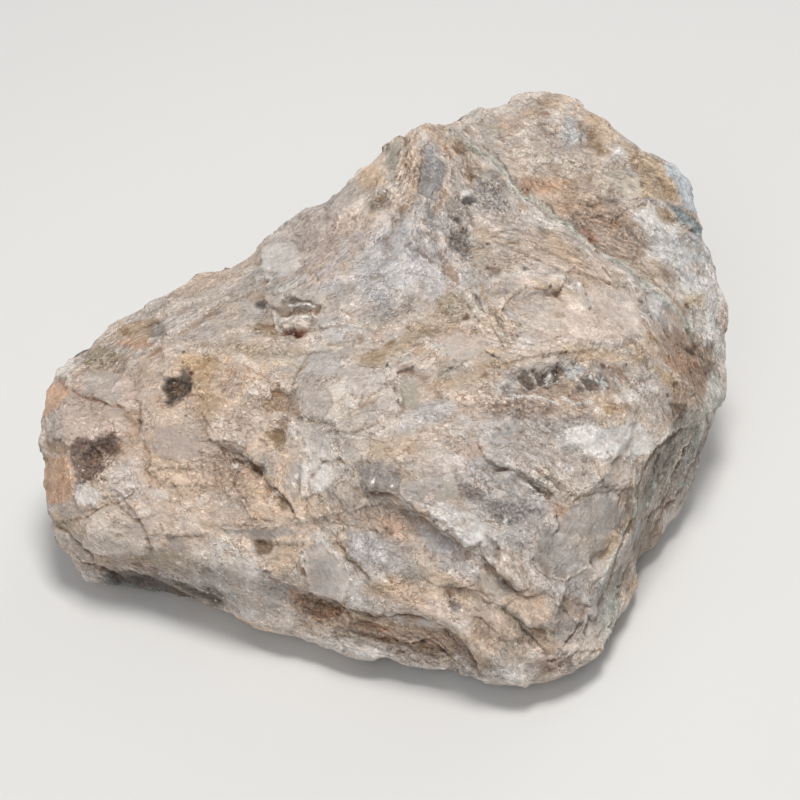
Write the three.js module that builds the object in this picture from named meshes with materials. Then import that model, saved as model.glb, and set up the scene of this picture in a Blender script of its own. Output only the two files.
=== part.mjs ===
// A rough lump of citrine-bearing quartz, as it was broken from the vein: one solid stone.
// Millimetres. +X is the viewer's right, +Y is away from the viewer, +Z is up, and the stone lies on z = 0.
import * as THREE from "three";
import { ConvexHull } from "three/addons/math/ConvexHull.js";
import { ImprovedNoise } from "three/addons/math/ImprovedNoise.js";

// The reference view looks down on the stone from the front. The stone's heart shows at the middle of the
// picture, where a pixel is this many millimetres wide.
const VIEW_DISTANCE = 524;
const VIEW_DOWN = THREE.MathUtils.degToRad(40);
const PICTURE_MIDDLE = 400;
const PIXEL = 0.262;
const HEART = new THREE.Vector3(1.62, -16.49, 48);

// From the core, a point inside, nearly every corner can be reached in a straight line that stays in the stone.
const GROUND = new THREE.Vector3(HEART.x, HEART.y, 0);
const CORE = new THREE.Vector3(8, 49, 16).add(GROUND);

// Each side of a corner-to-corner triangle is cut into this many edges, and corners are rounded a little.
const EDGE_CUTS = 3;
const SOFTENING = 0.3;

// The corners of the stone that the reference view shows: pixels right and down, then millimetres that the
// corner stands out towards the viewer from the plane through the heart.
const RIM = [
  [41, 413, -12], [45, 390, -13], [55, 371, -14], [62, 356, -16], [84, 347, -18], [110, 324, -20], [124, 315, -22],
  [140, 302, -23], [168, 291, -24], [190, 272, -25], [218, 272, -25], [246, 257, -25], [267, 235, -25],
  [287, 223, -25], [302, 206, -24], [326, 200, -24], [344, 185, -23], [359, 165, -22], [376, 158, -21],
  [388, 141, -20], [402, 129, -19], [422, 116, -18], [440, 125, -30], [455, 112, -37], [480, 105, -41],
  [510, 99, -43], [527, 91, -44], [564, 90, -44], [582, 102, -43], [606, 119, -42], [617, 133, -42],
  [645, 152, -42], [664, 163, -43], [687, 170, -46], [695, 191, -46], [700, 220, -46], [713, 247, -45],
  [717, 275, -44], [727, 305, -43], [726, 345, -42], [726, 385, -41], [726, 398, -40], [716, 420, -38],
  [701, 458, -34], [695, 481, -31], [679, 516, -26], [666, 528, -23], [658, 548, -17], [637, 566, -10],
  [640, 590, -5], [634, 605, -1], [620, 612, 3], [615, 633, 10], [600, 657, 16], [567, 676, 21], [534, 682, 23],
  [526, 688, 24], [516, 684, 24], [480, 681, 22], [447, 673, 20], [417, 669, 18], [385, 664, 16], [353, 659, 15],
  [320, 646, 12], [290, 639, 9], [260, 632, 7], [235, 619, 4], [212, 607, 1], [180, 600, -2], [158, 592, -4],
  [125, 590, -5], [100, 590, -6], [81, 585, -8], [75, 572, -9], [65, 556, -9], [64, 545, -6], [52, 539, -4],
  [45, 511, -5], [41, 485, -8], [45, 465, -8], [50, 458, -7], [44, 449, -8], [40, 428, -11],
];
const BROAD_FACE = [
  // the knob at the left end
  [70, 375, -6], [100, 365, -7], [60, 400, -2], [95, 395, 1], [125, 405, 4], [70, 430, 4], [105, 430, 8],
  [70, 470, 3], [72, 500, 2], [100, 480, 9], [130, 470, 10], [120, 510, 10], [90, 530, 7], [140, 545, 8],
  [140, 435, 6],
  // the rounded upper left edge
  [130, 335, -10], [170, 315, -11], [215, 300, -12], [260, 280, -11], [300, 255, -10], [345, 220, -9],
  [385, 180, -8], [410, 150, -9], [430, 150, -10],
  // the left middle
  [160, 370, 3], [205, 355, 4], [160, 420, 9], [200, 400, 12], [235, 390, 14], [180, 465, 13], [215, 440, 14],
  [250, 450, 14], [230, 500, 16], [185, 515, 15], [265, 520, 22], [200, 560, 14], [250, 575, 19],
  // the white upper face and the stained gully under it
  [300, 300, 5], [350, 300, 6], [400, 280, 6], [440, 300, 4], [370, 240, -1], [420, 210, -4], [455, 250, -4],
  [450, 190, -9], [480, 215, -9], [340, 340, 14], [400, 340, 13], [455, 330, 9], [270, 340, 9],
  // the middle
  [290, 400, 20], [330, 380, 23], [375, 375, 21], [400, 410, 24], [340, 430, 26], [290, 450, 22], [300, 495, 24],
  [350, 470, 29], [365, 490, 33], [400, 492, 34], [420, 440, 29], [460, 400, 22], [440, 370, 18], [395, 460, 33],
  // the cream plates at the right
  [500, 320, 11], [530, 290, 6], [560, 300, 8], [580, 260, -4], [600, 330, 7], [640, 320, -1], [560, 350, 13],
  [620, 360, 5], [500, 360, 15], [520, 240, -6], [620, 285, -8],
  // the dark band and the white face under it
  [530, 380, 16], [580, 385, 12], [640, 390, 5], [680, 375, -8], [700, 400, -14], [500, 420, 24], [560, 430, 22],
  [620, 420, 12], [675, 415, -6], [600, 470, 19], [650, 465, 4], [545, 465, 26],
  // the slanting ledges
  [450, 470, 34], [500, 480, 31], [440, 520, 35], [480, 540, 34], [520, 520, 31], [570, 500, 25], [620, 495, 11],
  [530, 560, 31], [590, 550, 22], [628, 535, 8], [400, 530, 30], [350, 520, 27], [350, 565, 27], [400, 570, 29],
  [450, 580, 31], [500, 585, 33], [555, 590, 28], [600, 585, 17], [300, 560, 23], [300, 578, 22], [345, 603, 26],
  [395, 611, 28], [445, 622, 30], [500, 620, 32], [550, 630, 28], [590, 620, 19], [520, 655, 29], [560, 660, 24],
  [478, 660, 28],
];
const LOWER_FRONT = [
  [95, 560, -2], [84, 565, -5], [130, 573, 1], [180, 591, 3], [120, 582, -6], [170, 592, -2], [240, 605, 10],
  [290, 612, 15], [325, 612, 15], [345, 630, 15], [380, 625, 17], [375, 648, 16], [420, 640, 18], [440, 655, 19],
  [462, 660, 21], [505, 672, 27],
];
const REAR_BLOCK = [
  [462, 135, -32], [490, 145, -35], [520, 185, -33], [545, 202, -34], [580, 228, -37], [612, 252, -37],
  [650, 288, -33], [685, 325, -33], [705, 350, -36],
  [480, 122, -38], [510, 120, -38], [550, 118, -38], [580, 130, -38], [612, 150, -38], [550, 160, -35],
  [600, 180, -35], [640, 180, -38], [668, 190, -41], [570, 198, -35], [620, 220, -35], [660, 225, -37],
  [690, 215, -43], [650, 258, -34], [690, 260, -38], [690, 300, -36], [712, 310, -40],
  // the ridge that parts it from the broad face
  [455, 132, -22], [480, 150, -21], [505, 177, -20], [535, 202, -20], [560, 220, -21], [592, 246, -21],
  [628, 268, -20], [662, 300, -20], [650, 320, -12],
];
const RIGHT_WALL = [
  [690, 350, -31], [672, 345, -22], [700, 375, -32], [685, 395, -18], [712, 395, -31], [712, 408, -24],
  [700, 425, -20], [675, 440, -13], [690, 460, -24], [660, 480, -9], [680, 490, -24], [650, 520, -7],
  [665, 515, -20], [638, 545, -5], [650, 545, -14], [620, 570, 3], [632, 580, -3], [610, 595, 8], [620, 600, 4],
];

// The corners that it hides, as x, y and z from the ground under the heart.
const BACK = [
  // the end of the rear block
  [88, 40, 18], [87, 54, 16], [90, 56, 36], [88, 66, 54], [80, 76, 58],
  // its back, with a ledge across
  [58, 92, 72], [34, 94, 74], [76, 86, 48], [56, 96, 50], [34, 97, 46], [18, 90, 44], [76, 81, 38], [56, 91, 38],
  [34, 91, 34], [18, 85, 32], [74, 74, 14], [52, 84, 18], [30, 84, 12], [16, 84, 70],
  // the step between the rear block and the broad body
  [8, 72, 74], [4, 74, 52], [2, 70, 30], [4, 72, 12],
  // the back of the broad body, falling to the left
  [-12, 62, 76], [-16, 72, 58], [-20, 66, 40], [-20, 72, 22], [-36, 56, 54], [-38, 64, 38], [-36, 60, 14],
  [-56, 44, 43], [-56, 52, 30], [-58, 48, 12], [-74, 34, 37], [-74, 44, 24], [-76, 34, 8], [-88, 22, 30],
  [-90, 24, 14], [-93, 6, 12],
];
const FOOT = [
  [-80, -18], [-60, -22], [-40, -30], [-14, -45], [12, -52], [30, -57], [43, -50], [51, -33], [60, -14], [70, 3],
  [76, 22], [70, 52], [48, 68], [20, 72], [-10, 66], [-34, 58], [-58, 42], [-78, 24], [-85, 2], [-40, 10], [0, 0],
  [35, 20], [0, 35],
];

// Ledges: the line of the edge in pixels, with the lower ground at the left as the line is followed, and how far
// the ground drops there and its edge stands proud, in millimetres.
const LEDGES = [
  { path: [[551, 629], [529, 627], [500, 609]], drop: 2.2, lip: 0.7 },
  { path: [[469, 551], [441, 533], [420, 516], [394, 494], [367, 492], [362, 478]], drop: 3.2, lip: 1 },
  { path: [[524, 592], [500, 575], [478, 555]], drop: 2.4, lip: 0.8 },
  { path: [[560, 498], [540, 484], [518, 470], [497, 468], [482, 452]], drop: 2.2, lip: 0.8 },
  { path: [[481, 676], [473, 655], [449, 628], [420, 614], [375, 616], [342, 608], [313, 599], [289, 582]],
    drop: 4.5, lip: 0.8 },
  { path: [[375, 584], [349, 554], [336, 539]], drop: 2, lip: 0.6 },
  { path: [[290, 512], [284, 497], [265, 471], [241, 452], [207, 441]], drop: 2.8, lip: 0.6 },
  { path: [[152, 478], [150, 462], [140, 438], [142, 420], [137, 398]], drop: 2.2, lip: 0.4 },
  { path: [[217, 608], [180, 591], [159, 580], [116, 572], [84, 560]], drop: 3.5, lip: 0.5 },
  { path: [[523, 592], [548, 577], [567, 580], [594, 567], [612, 556]], drop: 2.2, lip: 0.6 },
  { path: [[470, 674], [457, 660], [431, 640], [400, 644]], drop: 3, lip: 0.5 },
  { path: [[575, 312], [556, 294], [530, 289], [512, 300], [498, 320]], drop: 1.6, lip: 0.8 },
  { path: [[645, 300], [628, 272], [592, 249], [560, 224], [535, 205], [505, 180]], drop: 8, lip: 0 },
  { path: [[304, 428], [294, 396], [306, 362], [334, 350]], drop: 1.8, lip: 0.6 },
  { path: [[438, 215], [432, 180], [424, 142]], drop: 2.2, lip: 0.6 },
  { path: [[640, 487], [610, 490], [582, 497]], drop: 1.6, lip: 0.5 },
  { path: [[160, 372], [125, 368], [92, 352]], drop: 1.6, lip: 0.5 },
  { path: [[122, 407], [104, 402], [80, 390]], drop: 1.2, lip: 0.4 },
  { path: [[338, 514], [320, 518], [290, 521], [260, 525], [228, 528]], drop: 1.8, lip: 0.6 },
  { path: [[706, 412], [690, 450], [672, 492], [656, 528]], drop: 2, lip: 0.6 },
  { path: [[470, 405], [444, 396], [424, 372], [404, 366]], drop: 1.6, lip: 0.5 },
  { path: [[668, 452], [630, 442], [590, 442], [560, 452]], drop: 1.6, lip: 0.4 },
  { path: [[268, 262], [300, 250], [334, 228]], drop: 1.4, lip: 0.4 },
];
// Half the width of a ledge's riser, and the room that a ledge takes to each side, in pixels.
const RISER = 4;
const LEDGE_ROOM = 11;

// Pits: the middle, the half sizes along and across, all in pixels, the slant in degrees and the depth in
// millimetres. A pit's floor and brim are at these shares of its half size.
const PIT_FLOOR = 0.4;
const PIT_BRIM = 1.3;
const PITS = [
  { middle: [264, 546], half: [13, 9], slant: 0, depth: 3.5 },
  { middle: [276, 436], half: [9, 10], slant: 0, depth: 3 },
  { middle: [178, 387], half: [17, 13], slant: -25, depth: 2 },
  { middle: [290, 322], half: [38, 16], slant: -3, depth: 4.5 },
  { middle: [593, 137], half: [9, 18], slant: -20, depth: 3 },
  { middle: [548, 376], half: [32, 12], slant: -8, depth: 3 },
  { middle: [325, 606], half: [24, 7], slant: 8, depth: 3.5 },
  { middle: [456, 598], half: [12, 12], slant: 0, depth: 2.5 },
  { middle: [222, 385], half: [12, 9], slant: 0, depth: 2 },
];

// Unevenness everywhere: how far it stands out and how far apart its swells are, in millimetres. On the sides
// that the reference view hides, crests with sharp tops are added to the swells.
const SWELLS = [
  { height: 1.6, apart: 26 },
  { height: 0.9, apart: 12 },
  { height: 0.6, apart: 6 },
];
const CRESTS = [
  { height: 6, apart: 34 },
  { height: 3.4, apart: 15 },
];
const CREST_MIDDLE = 0.2;
const CRESTS_START_UP = 14;
const SWELL_SHIFT = 7.3;

// A vertex lower than this lies on the ground.
const ON_GROUND = 0.01;

// Pits are cut only where the surface is turned to the viewer, and crests are raised only where it is turned
// away, both by the cosine of the angle to the view.
const TO_VIEW = [0.05, 0.4];
const FROM_VIEW = [0.05, 0.45];

const RIGHT = new THREE.Vector3(1, 0, 0);
const TO_VIEWER = new THREE.Vector3(0, -Math.cos(VIEW_DOWN), Math.sin(VIEW_DOWN));
const PICTURE_UP = new THREE.Vector3().crossVectors(TO_VIEWER, RIGHT);

// The point of space that shows at a pixel and stands out by a given distance from the plane through the heart.
function seenAt([right, down, out]) {
  const scale = (PIXEL * (VIEW_DISTANCE - out)) / VIEW_DISTANCE;
  return HEART.clone()
    .addScaledVector(RIGHT, (right - PICTURE_MIDDLE) * scale)
    .addScaledVector(PICTURE_UP, (PICTURE_MIDDLE - down) * scale)
    .addScaledVector(TO_VIEWER, out);
}

// The pixel at which a point shows.
function pixelOf(point) {
  const from = point.clone().sub(HEART);
  const scale = (PIXEL * (VIEW_DISTANCE - from.dot(TO_VIEWER))) / VIEW_DISTANCE;
  return [
    PICTURE_MIDDLE + from.dot(RIGHT) / scale,
    PICTURE_MIDDLE - from.dot(PICTURE_UP) / scale,
  ];
}

// The corners of the plain shape, then those of the ledges. A corner right beside a ledge gives way to it.
function allCorners() {
  const faces = [...BROAD_FACE, ...LOWER_FRONT, ...REAR_BLOCK, ...RIGHT_WALL];
  const shared = [
    ...RIM.map(seenAt),
    ...BACK.map((place) => new THREE.Vector3(...place).add(GROUND)),
    ...FOOT.map(([x, y]) => new THREE.Vector3(x, y, 0).add(GROUND)),
  ];
  const plainFaces = shownFaces([...shared, ...faces.map(seenAt)]);
  const clear = faces.filter((place) => LEDGES.every(({ path }) => fromPath(place, path) > LEDGE_ROOM));
  return [...shared, ...clear.map(seenAt), ...LEDGES.flatMap((ledge) => ledgeCorners(ledge, plainFaces))];
}

// How many pixels a place lies from a path of pixels.
function fromPath([x, y], path) {
  const distances = path.slice(1).map(([x2, y2], i) => {
    const [x1, y1] = path[i];
    const along = ((x - x1) * (x2 - x1) + (y - y1) * (y2 - y1)) / ((x2 - x1) ** 2 + (y2 - y1) ** 2);
    const share = THREE.MathUtils.clamp(along, 0, 1);
    return Math.hypot(x - x1 - share * (x2 - x1), y - y1 - share * (y2 - y1));
  });
  return Math.min(...distances);
}

// The faces between the corners, each corner as its pixel and how far it stands out towards the viewer.
function shownFaces(corners) {
  const shown = corners.map((corner) => [...pixelOf(corner), corner.clone().sub(HEART).dot(TO_VIEWER)]);
  return trianglesAround(corners).map((triangle) => triangle.map((i) => shown[i]));
}

// How far the foremost of the faces stands out at a pixel.
function standingOutAt([x, y], faces) {
  let foremost = -Infinity;
  for (const [a, b, c] of faces) {
    const twice = (b[0] - a[0]) * (c[1] - a[1]) - (c[0] - a[0]) * (b[1] - a[1]);
    const atB = ((x - a[0]) * (c[1] - a[1]) - (c[0] - a[0]) * (y - a[1])) / twice;
    const atC = ((b[0] - a[0]) * (y - a[1]) - (x - a[0]) * (b[1] - a[1])) / twice;
    const out = a[2] + atB * (b[2] - a[2]) + atC * (c[2] - a[2]);
    if (atB >= 0 && atC >= 0 && atB + atC <= 1) foremost = Math.max(foremost, out);
  }
  return foremost;
}

// A ledge is a row of corners along its proud edge and another along its foot.
function ledgeCorners({ path, drop, lip }, faces) {
  return path.flatMap(([x, y], i) => {
    const [before, after] = [path[Math.max(i - 1, 0)], path[Math.min(i + 1, path.length - 1)]];
    const [dx, dy] = [after[0] - before[0], after[1] - before[1]];
    const [across, down] = [dy, -dx].map((value) => (RISER * value) / Math.hypot(dx, dy));
    const out = standingOutAt([x, y], faces);
    const share = i === 0 || i === path.length - 1 ? 0.5 : 1;
    return [
      seenAt([x + across, y + down, out - drop * share]),
      seenAt([x - across, y - down, out + lip * share]),
    ];
  });
}

// Joins the corners into triangles as they lie around the core.
function trianglesAround(corners) {
  const directions = corners.map((corner) => corner.clone().sub(CORE).normalize());
  const hull = new ConvexHull().setFromPoints(directions);
  const numberOf = new Map(directions.map((direction, i) => [direction, i]));
  return hull.faces.map((face) => {
    const edge = face.edge;
    return [edge.tail(), edge.head(), edge.next.head()].map((vertex) => numberOf.get(vertex.point));
  });
}

// Cuts every triangle into EDGE_CUTS squared smaller ones that share their vertices.
function cutFiner(corners, triangles) {
  const points = [];
  const known = new Map();
  const finer = [];
  const vertexAt = (weights) => {
    const used = weights.filter(([, share]) => share > 0).sort(([a], [b]) => a - b);
    const key = used.join(" ");
    if (!known.has(key)) {
      const point = new THREE.Vector3();
      for (const [corner, share] of used) point.addScaledVector(corners[corner], share / EDGE_CUTS);
      known.set(key, points.push(point) - 1);
    }
    return known.get(key);
  };
  for (const [a, b, c] of triangles) {
    const at = (i, j) => vertexAt([[a, EDGE_CUTS - i - j], [b, i], [c, j]]);
    for (let i = 0; i < EDGE_CUTS; i++)
      for (let j = 0; i + j < EDGE_CUTS; j++) {
        finer.push([at(i, j), at(i + 1, j), at(i, j + 1)]);
        if (i + j < EDGE_CUTS - 1) finer.push([at(i + 1, j), at(i + 1, j + 1), at(i, j + 1)]);
      }
  }
  return { points, triangles: finer };
}

// Moves each vertex part of the way to the middle of its neighbours, which rounds the corners a little.
function soften(points, triangles) {
  const neighbours = points.map(() => new Set());
  for (const [a, b, c] of triangles)
    for (const [one, other] of [[a, b], [b, c], [c, a]]) {
      neighbours[one].add(other);
      neighbours[other].add(one);
    }
  const moved = points.map((point, i) => {
    const middle = new THREE.Vector3();
    for (const other of neighbours[i]) middle.add(points[other]);
    return point.clone().lerp(middle.divideScalar(neighbours[i].size), SOFTENING);
  });
  moved.forEach((point, i) => points[i].set(point.x, point.y, onGround(points[i]) ? 0 : point.z));
}

function onGround(point) {
  return point.z < ON_GROUND;
}

function normalsOf(points, triangles) {
  const normals = points.map(() => new THREE.Vector3());
  for (const [a, b, c] of triangles) {
    const across = points[c].clone().sub(points[b]);
    const normal = across.cross(points[a].clone().sub(points[b]));
    for (const corner of [a, b, c]) normals[corner].add(normal);
  }
  return normals.map((normal) => normal.normalize());
}

function pitLift([x, y], { middle, half, slant, depth }) {
  const turn = THREE.MathUtils.degToRad(slant);
  const [dx, dy] = [x - middle[0], y - middle[1]];
  const along = (dx * Math.cos(turn) + dy * Math.sin(turn)) / half[0];
  const across = (dy * Math.cos(turn) - dx * Math.sin(turn)) / half[1];
  return -depth * (1 - THREE.MathUtils.smoothstep(Math.hypot(along, across), PIT_FLOOR, PIT_BRIM));
}

const noise = new ImprovedNoise();

function noiseAt(point, apart) {
  const { x, y, z } = point.clone().sub(HEART).divideScalar(apart).addScalar(SWELL_SHIFT * apart);
  return noise.noise(x, y, z);
}

function swellLift(point) {
  return SWELLS.reduce((sum, { height, apart }) => sum + height * noiseAt(point, apart), 0);
}

function crestLift(point) {
  const crest = ({ height, apart }) => height * (CREST_MIDDLE - Math.abs(noiseAt(point, apart)));
  return Math.min(point.z / CRESTS_START_UP, 1) * CRESTS.reduce((sum, size) => sum + crest(size), 0);
}

// Raises and lowers the surface along its own direction. The flat foot stays as it is.
function roughen(points, triangles) {
  const normals = normalsOf(points, triangles);
  points.forEach((point, i) => {
    if (onGround(point)) return;
    const pixel = pixelOf(point);
    const turned = normals[i].dot(TO_VIEWER);
    let lift = swellLift(point) + THREE.MathUtils.smoothstep(-turned, ...FROM_VIEW) * crestLift(point);
    for (const pit of PITS) lift += THREE.MathUtils.smoothstep(turned, ...TO_VIEW) * pitLift(pixel, pit);
    point.addScaledVector(normals[i], lift);
    point.z = Math.max(point.z, 0);
  });
}

function stoneGeometry() {
  const corners = allCorners();
  const { points, triangles } = cutFiner(corners, trianglesAround(corners));
  soften(points, triangles);
  roughen(points, triangles);
  const geometry = new THREE.BufferGeometry().setFromPoints(points);
  geometry.setIndex(triangles.flat());
  geometry.computeVertexNormals();
  return geometry;
}

function stone() {
  const quartz = new THREE.MeshStandardMaterial({ color: 0xb9aa9c, roughness: 0.72, metalness: 0 });
  const mesh = new THREE.Mesh(stoneGeometry(), quartz);
  mesh.name = "citrine_stone";
  return mesh;
}

const specimen = new THREE.Group();
specimen.add(stone());

export default specimen;
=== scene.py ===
"""A raw citrine lump: one broken piece of vein quartz, with its fine surface, on a plain floor."""
import math

import bpy
import numpy as np
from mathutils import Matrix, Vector


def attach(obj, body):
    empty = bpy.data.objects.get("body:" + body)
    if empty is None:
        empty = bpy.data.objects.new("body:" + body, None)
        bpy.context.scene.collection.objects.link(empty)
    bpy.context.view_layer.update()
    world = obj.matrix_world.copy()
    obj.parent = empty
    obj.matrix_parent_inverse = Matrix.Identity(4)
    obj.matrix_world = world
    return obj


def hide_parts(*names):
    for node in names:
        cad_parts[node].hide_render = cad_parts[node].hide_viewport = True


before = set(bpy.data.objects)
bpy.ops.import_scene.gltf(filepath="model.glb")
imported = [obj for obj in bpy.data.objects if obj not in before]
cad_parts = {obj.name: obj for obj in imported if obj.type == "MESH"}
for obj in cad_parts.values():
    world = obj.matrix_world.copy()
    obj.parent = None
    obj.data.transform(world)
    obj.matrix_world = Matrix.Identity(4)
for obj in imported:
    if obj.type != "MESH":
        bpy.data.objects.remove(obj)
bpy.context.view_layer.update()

# The reference view looks down on the stone from the front. Lengths are in millimetres and places in pixels.
MM = 0.001
PICTURE_MIDDLE = 400
PIXEL = 0.262
VIEW_DISTANCE = 524
VIEW_DOWN = math.radians(40)
HEART = np.array([1.62, -16.49, 48])
LENS = 90
SENSOR = 36
NEAREST_SEEN = 10
RIGHT = np.array([1, 0, 0])
TO_VIEWER = np.array([0, -math.cos(VIEW_DOWN), math.sin(VIEW_DOWN)])
PICTURE_UP = np.cross(TO_VIEWER, RIGHT)

# The longest edge that the fine mesh keeps along cracks and facet edges, on the rest of the shown side, on
# the hidden sides and on the flat foot
LINE_EDGE = 0.75
SHOWN_EDGE = 1.5
HIDDEN_EDGE = 4
FOOT_EDGE = 9

# How many pixels the finest mesh reaches from a line, how often the long edges are halved, how often the
# halved mesh is rounded, below which height a vertex belongs to the foot, and the rounds of smoothing over
# which pits and valleys are measured
LINE_REACH = 2
CUT_ROUNDS = 5
ROUNDING = 5
FOOT_HEIGHT = 0.01
PIT_ROUNDS = 8
VALLEY_ROUNDS = 50

# How far a face is turned towards the viewer, as a cosine, where the fine mesh begins and where it is whole,
# and the same for the listed forms and colours. Then the height over the floor at which relief is whole.
FINE_TURN = (-0.15, 0.1)
SEEN_TURN = (0.0, 0.22)
FULL_RELIEF = 2.5

# The floor, the background and the three lights, in metres and watts: the place, the size, the power and the
# colour of each light
FLOOR_HALF = 3.0
FLOOR_COLOUR = (0.7, 0.69, 0.67, 1)
FLOOR_ROUGHNESS = 0.85
BACKGROUND_COLOUR = (0.93, 0.95, 1, 1)
BACKGROUND_STRENGTH = 0.32
LIGHTS = {
    "key": ((0.02, 0.0, 1.0), 0.3, 7.0, (1, 0.985, 0.96)),
    "fill": ((-0.35, -0.95, 0.75), 0.8, 4, (0.95, 0.97, 1)),
    "back": ((0.5, 0.95, 0.6), 0.8, 2.8, (0.97, 0.98, 1)),
}

# The colours of the stone, as red, green and blue from 0 to 255
COLOURS = {
    "cream": (199, 185, 173),
    "cream warm": (201, 176, 154),
    "cream low": (192, 172, 154),
    "pink": (192, 172, 160),
    "white": (216, 212, 207),
    "white blue": (186, 184, 185),
    "lens": (174, 165, 158),
    "grey": (152, 147, 142),
    "grey dark": (128, 120, 114),
    "grey deep": (96, 90, 86),
    "grey green": (144, 138, 124),
    "ochre": (164, 137, 104),
    "ochre pale": (190, 163, 134),
    "ochre dark": (142, 114, 80),
    "orange": (196, 154, 122),
    "yellow": (182, 150, 98),
    "brown": (128, 102, 80),
    "brown soft": (160, 136, 117),
    "brown dark": (96, 72, 52),
    "olive": (150, 136, 110),
    "olive dark": (94, 80, 56),
    "rust": (140, 84, 52),
    "rust dark": (84, 34, 18),
    "inclusion": (124, 104, 92),
    "black": (46, 38, 33),
    "blue green": (120, 134, 138),
    "green pale": (190, 196, 187),
    # the right wall's greenish tone, darkened by painted shade
    "wall": (143, 138, 125),
    # painted shade below the overhang of the left end
    "under": (70, 60, 52),
    "taupe": (164, 149, 140),
    "pale": (208, 200, 188),
    "pale warm": (200, 187, 170),
    "blue grey": (158, 158, 158),
    "blue white": (178, 184, 188),
    "blue dark": (138, 137, 138),
    "glint": (234, 232, 228),
}

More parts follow.
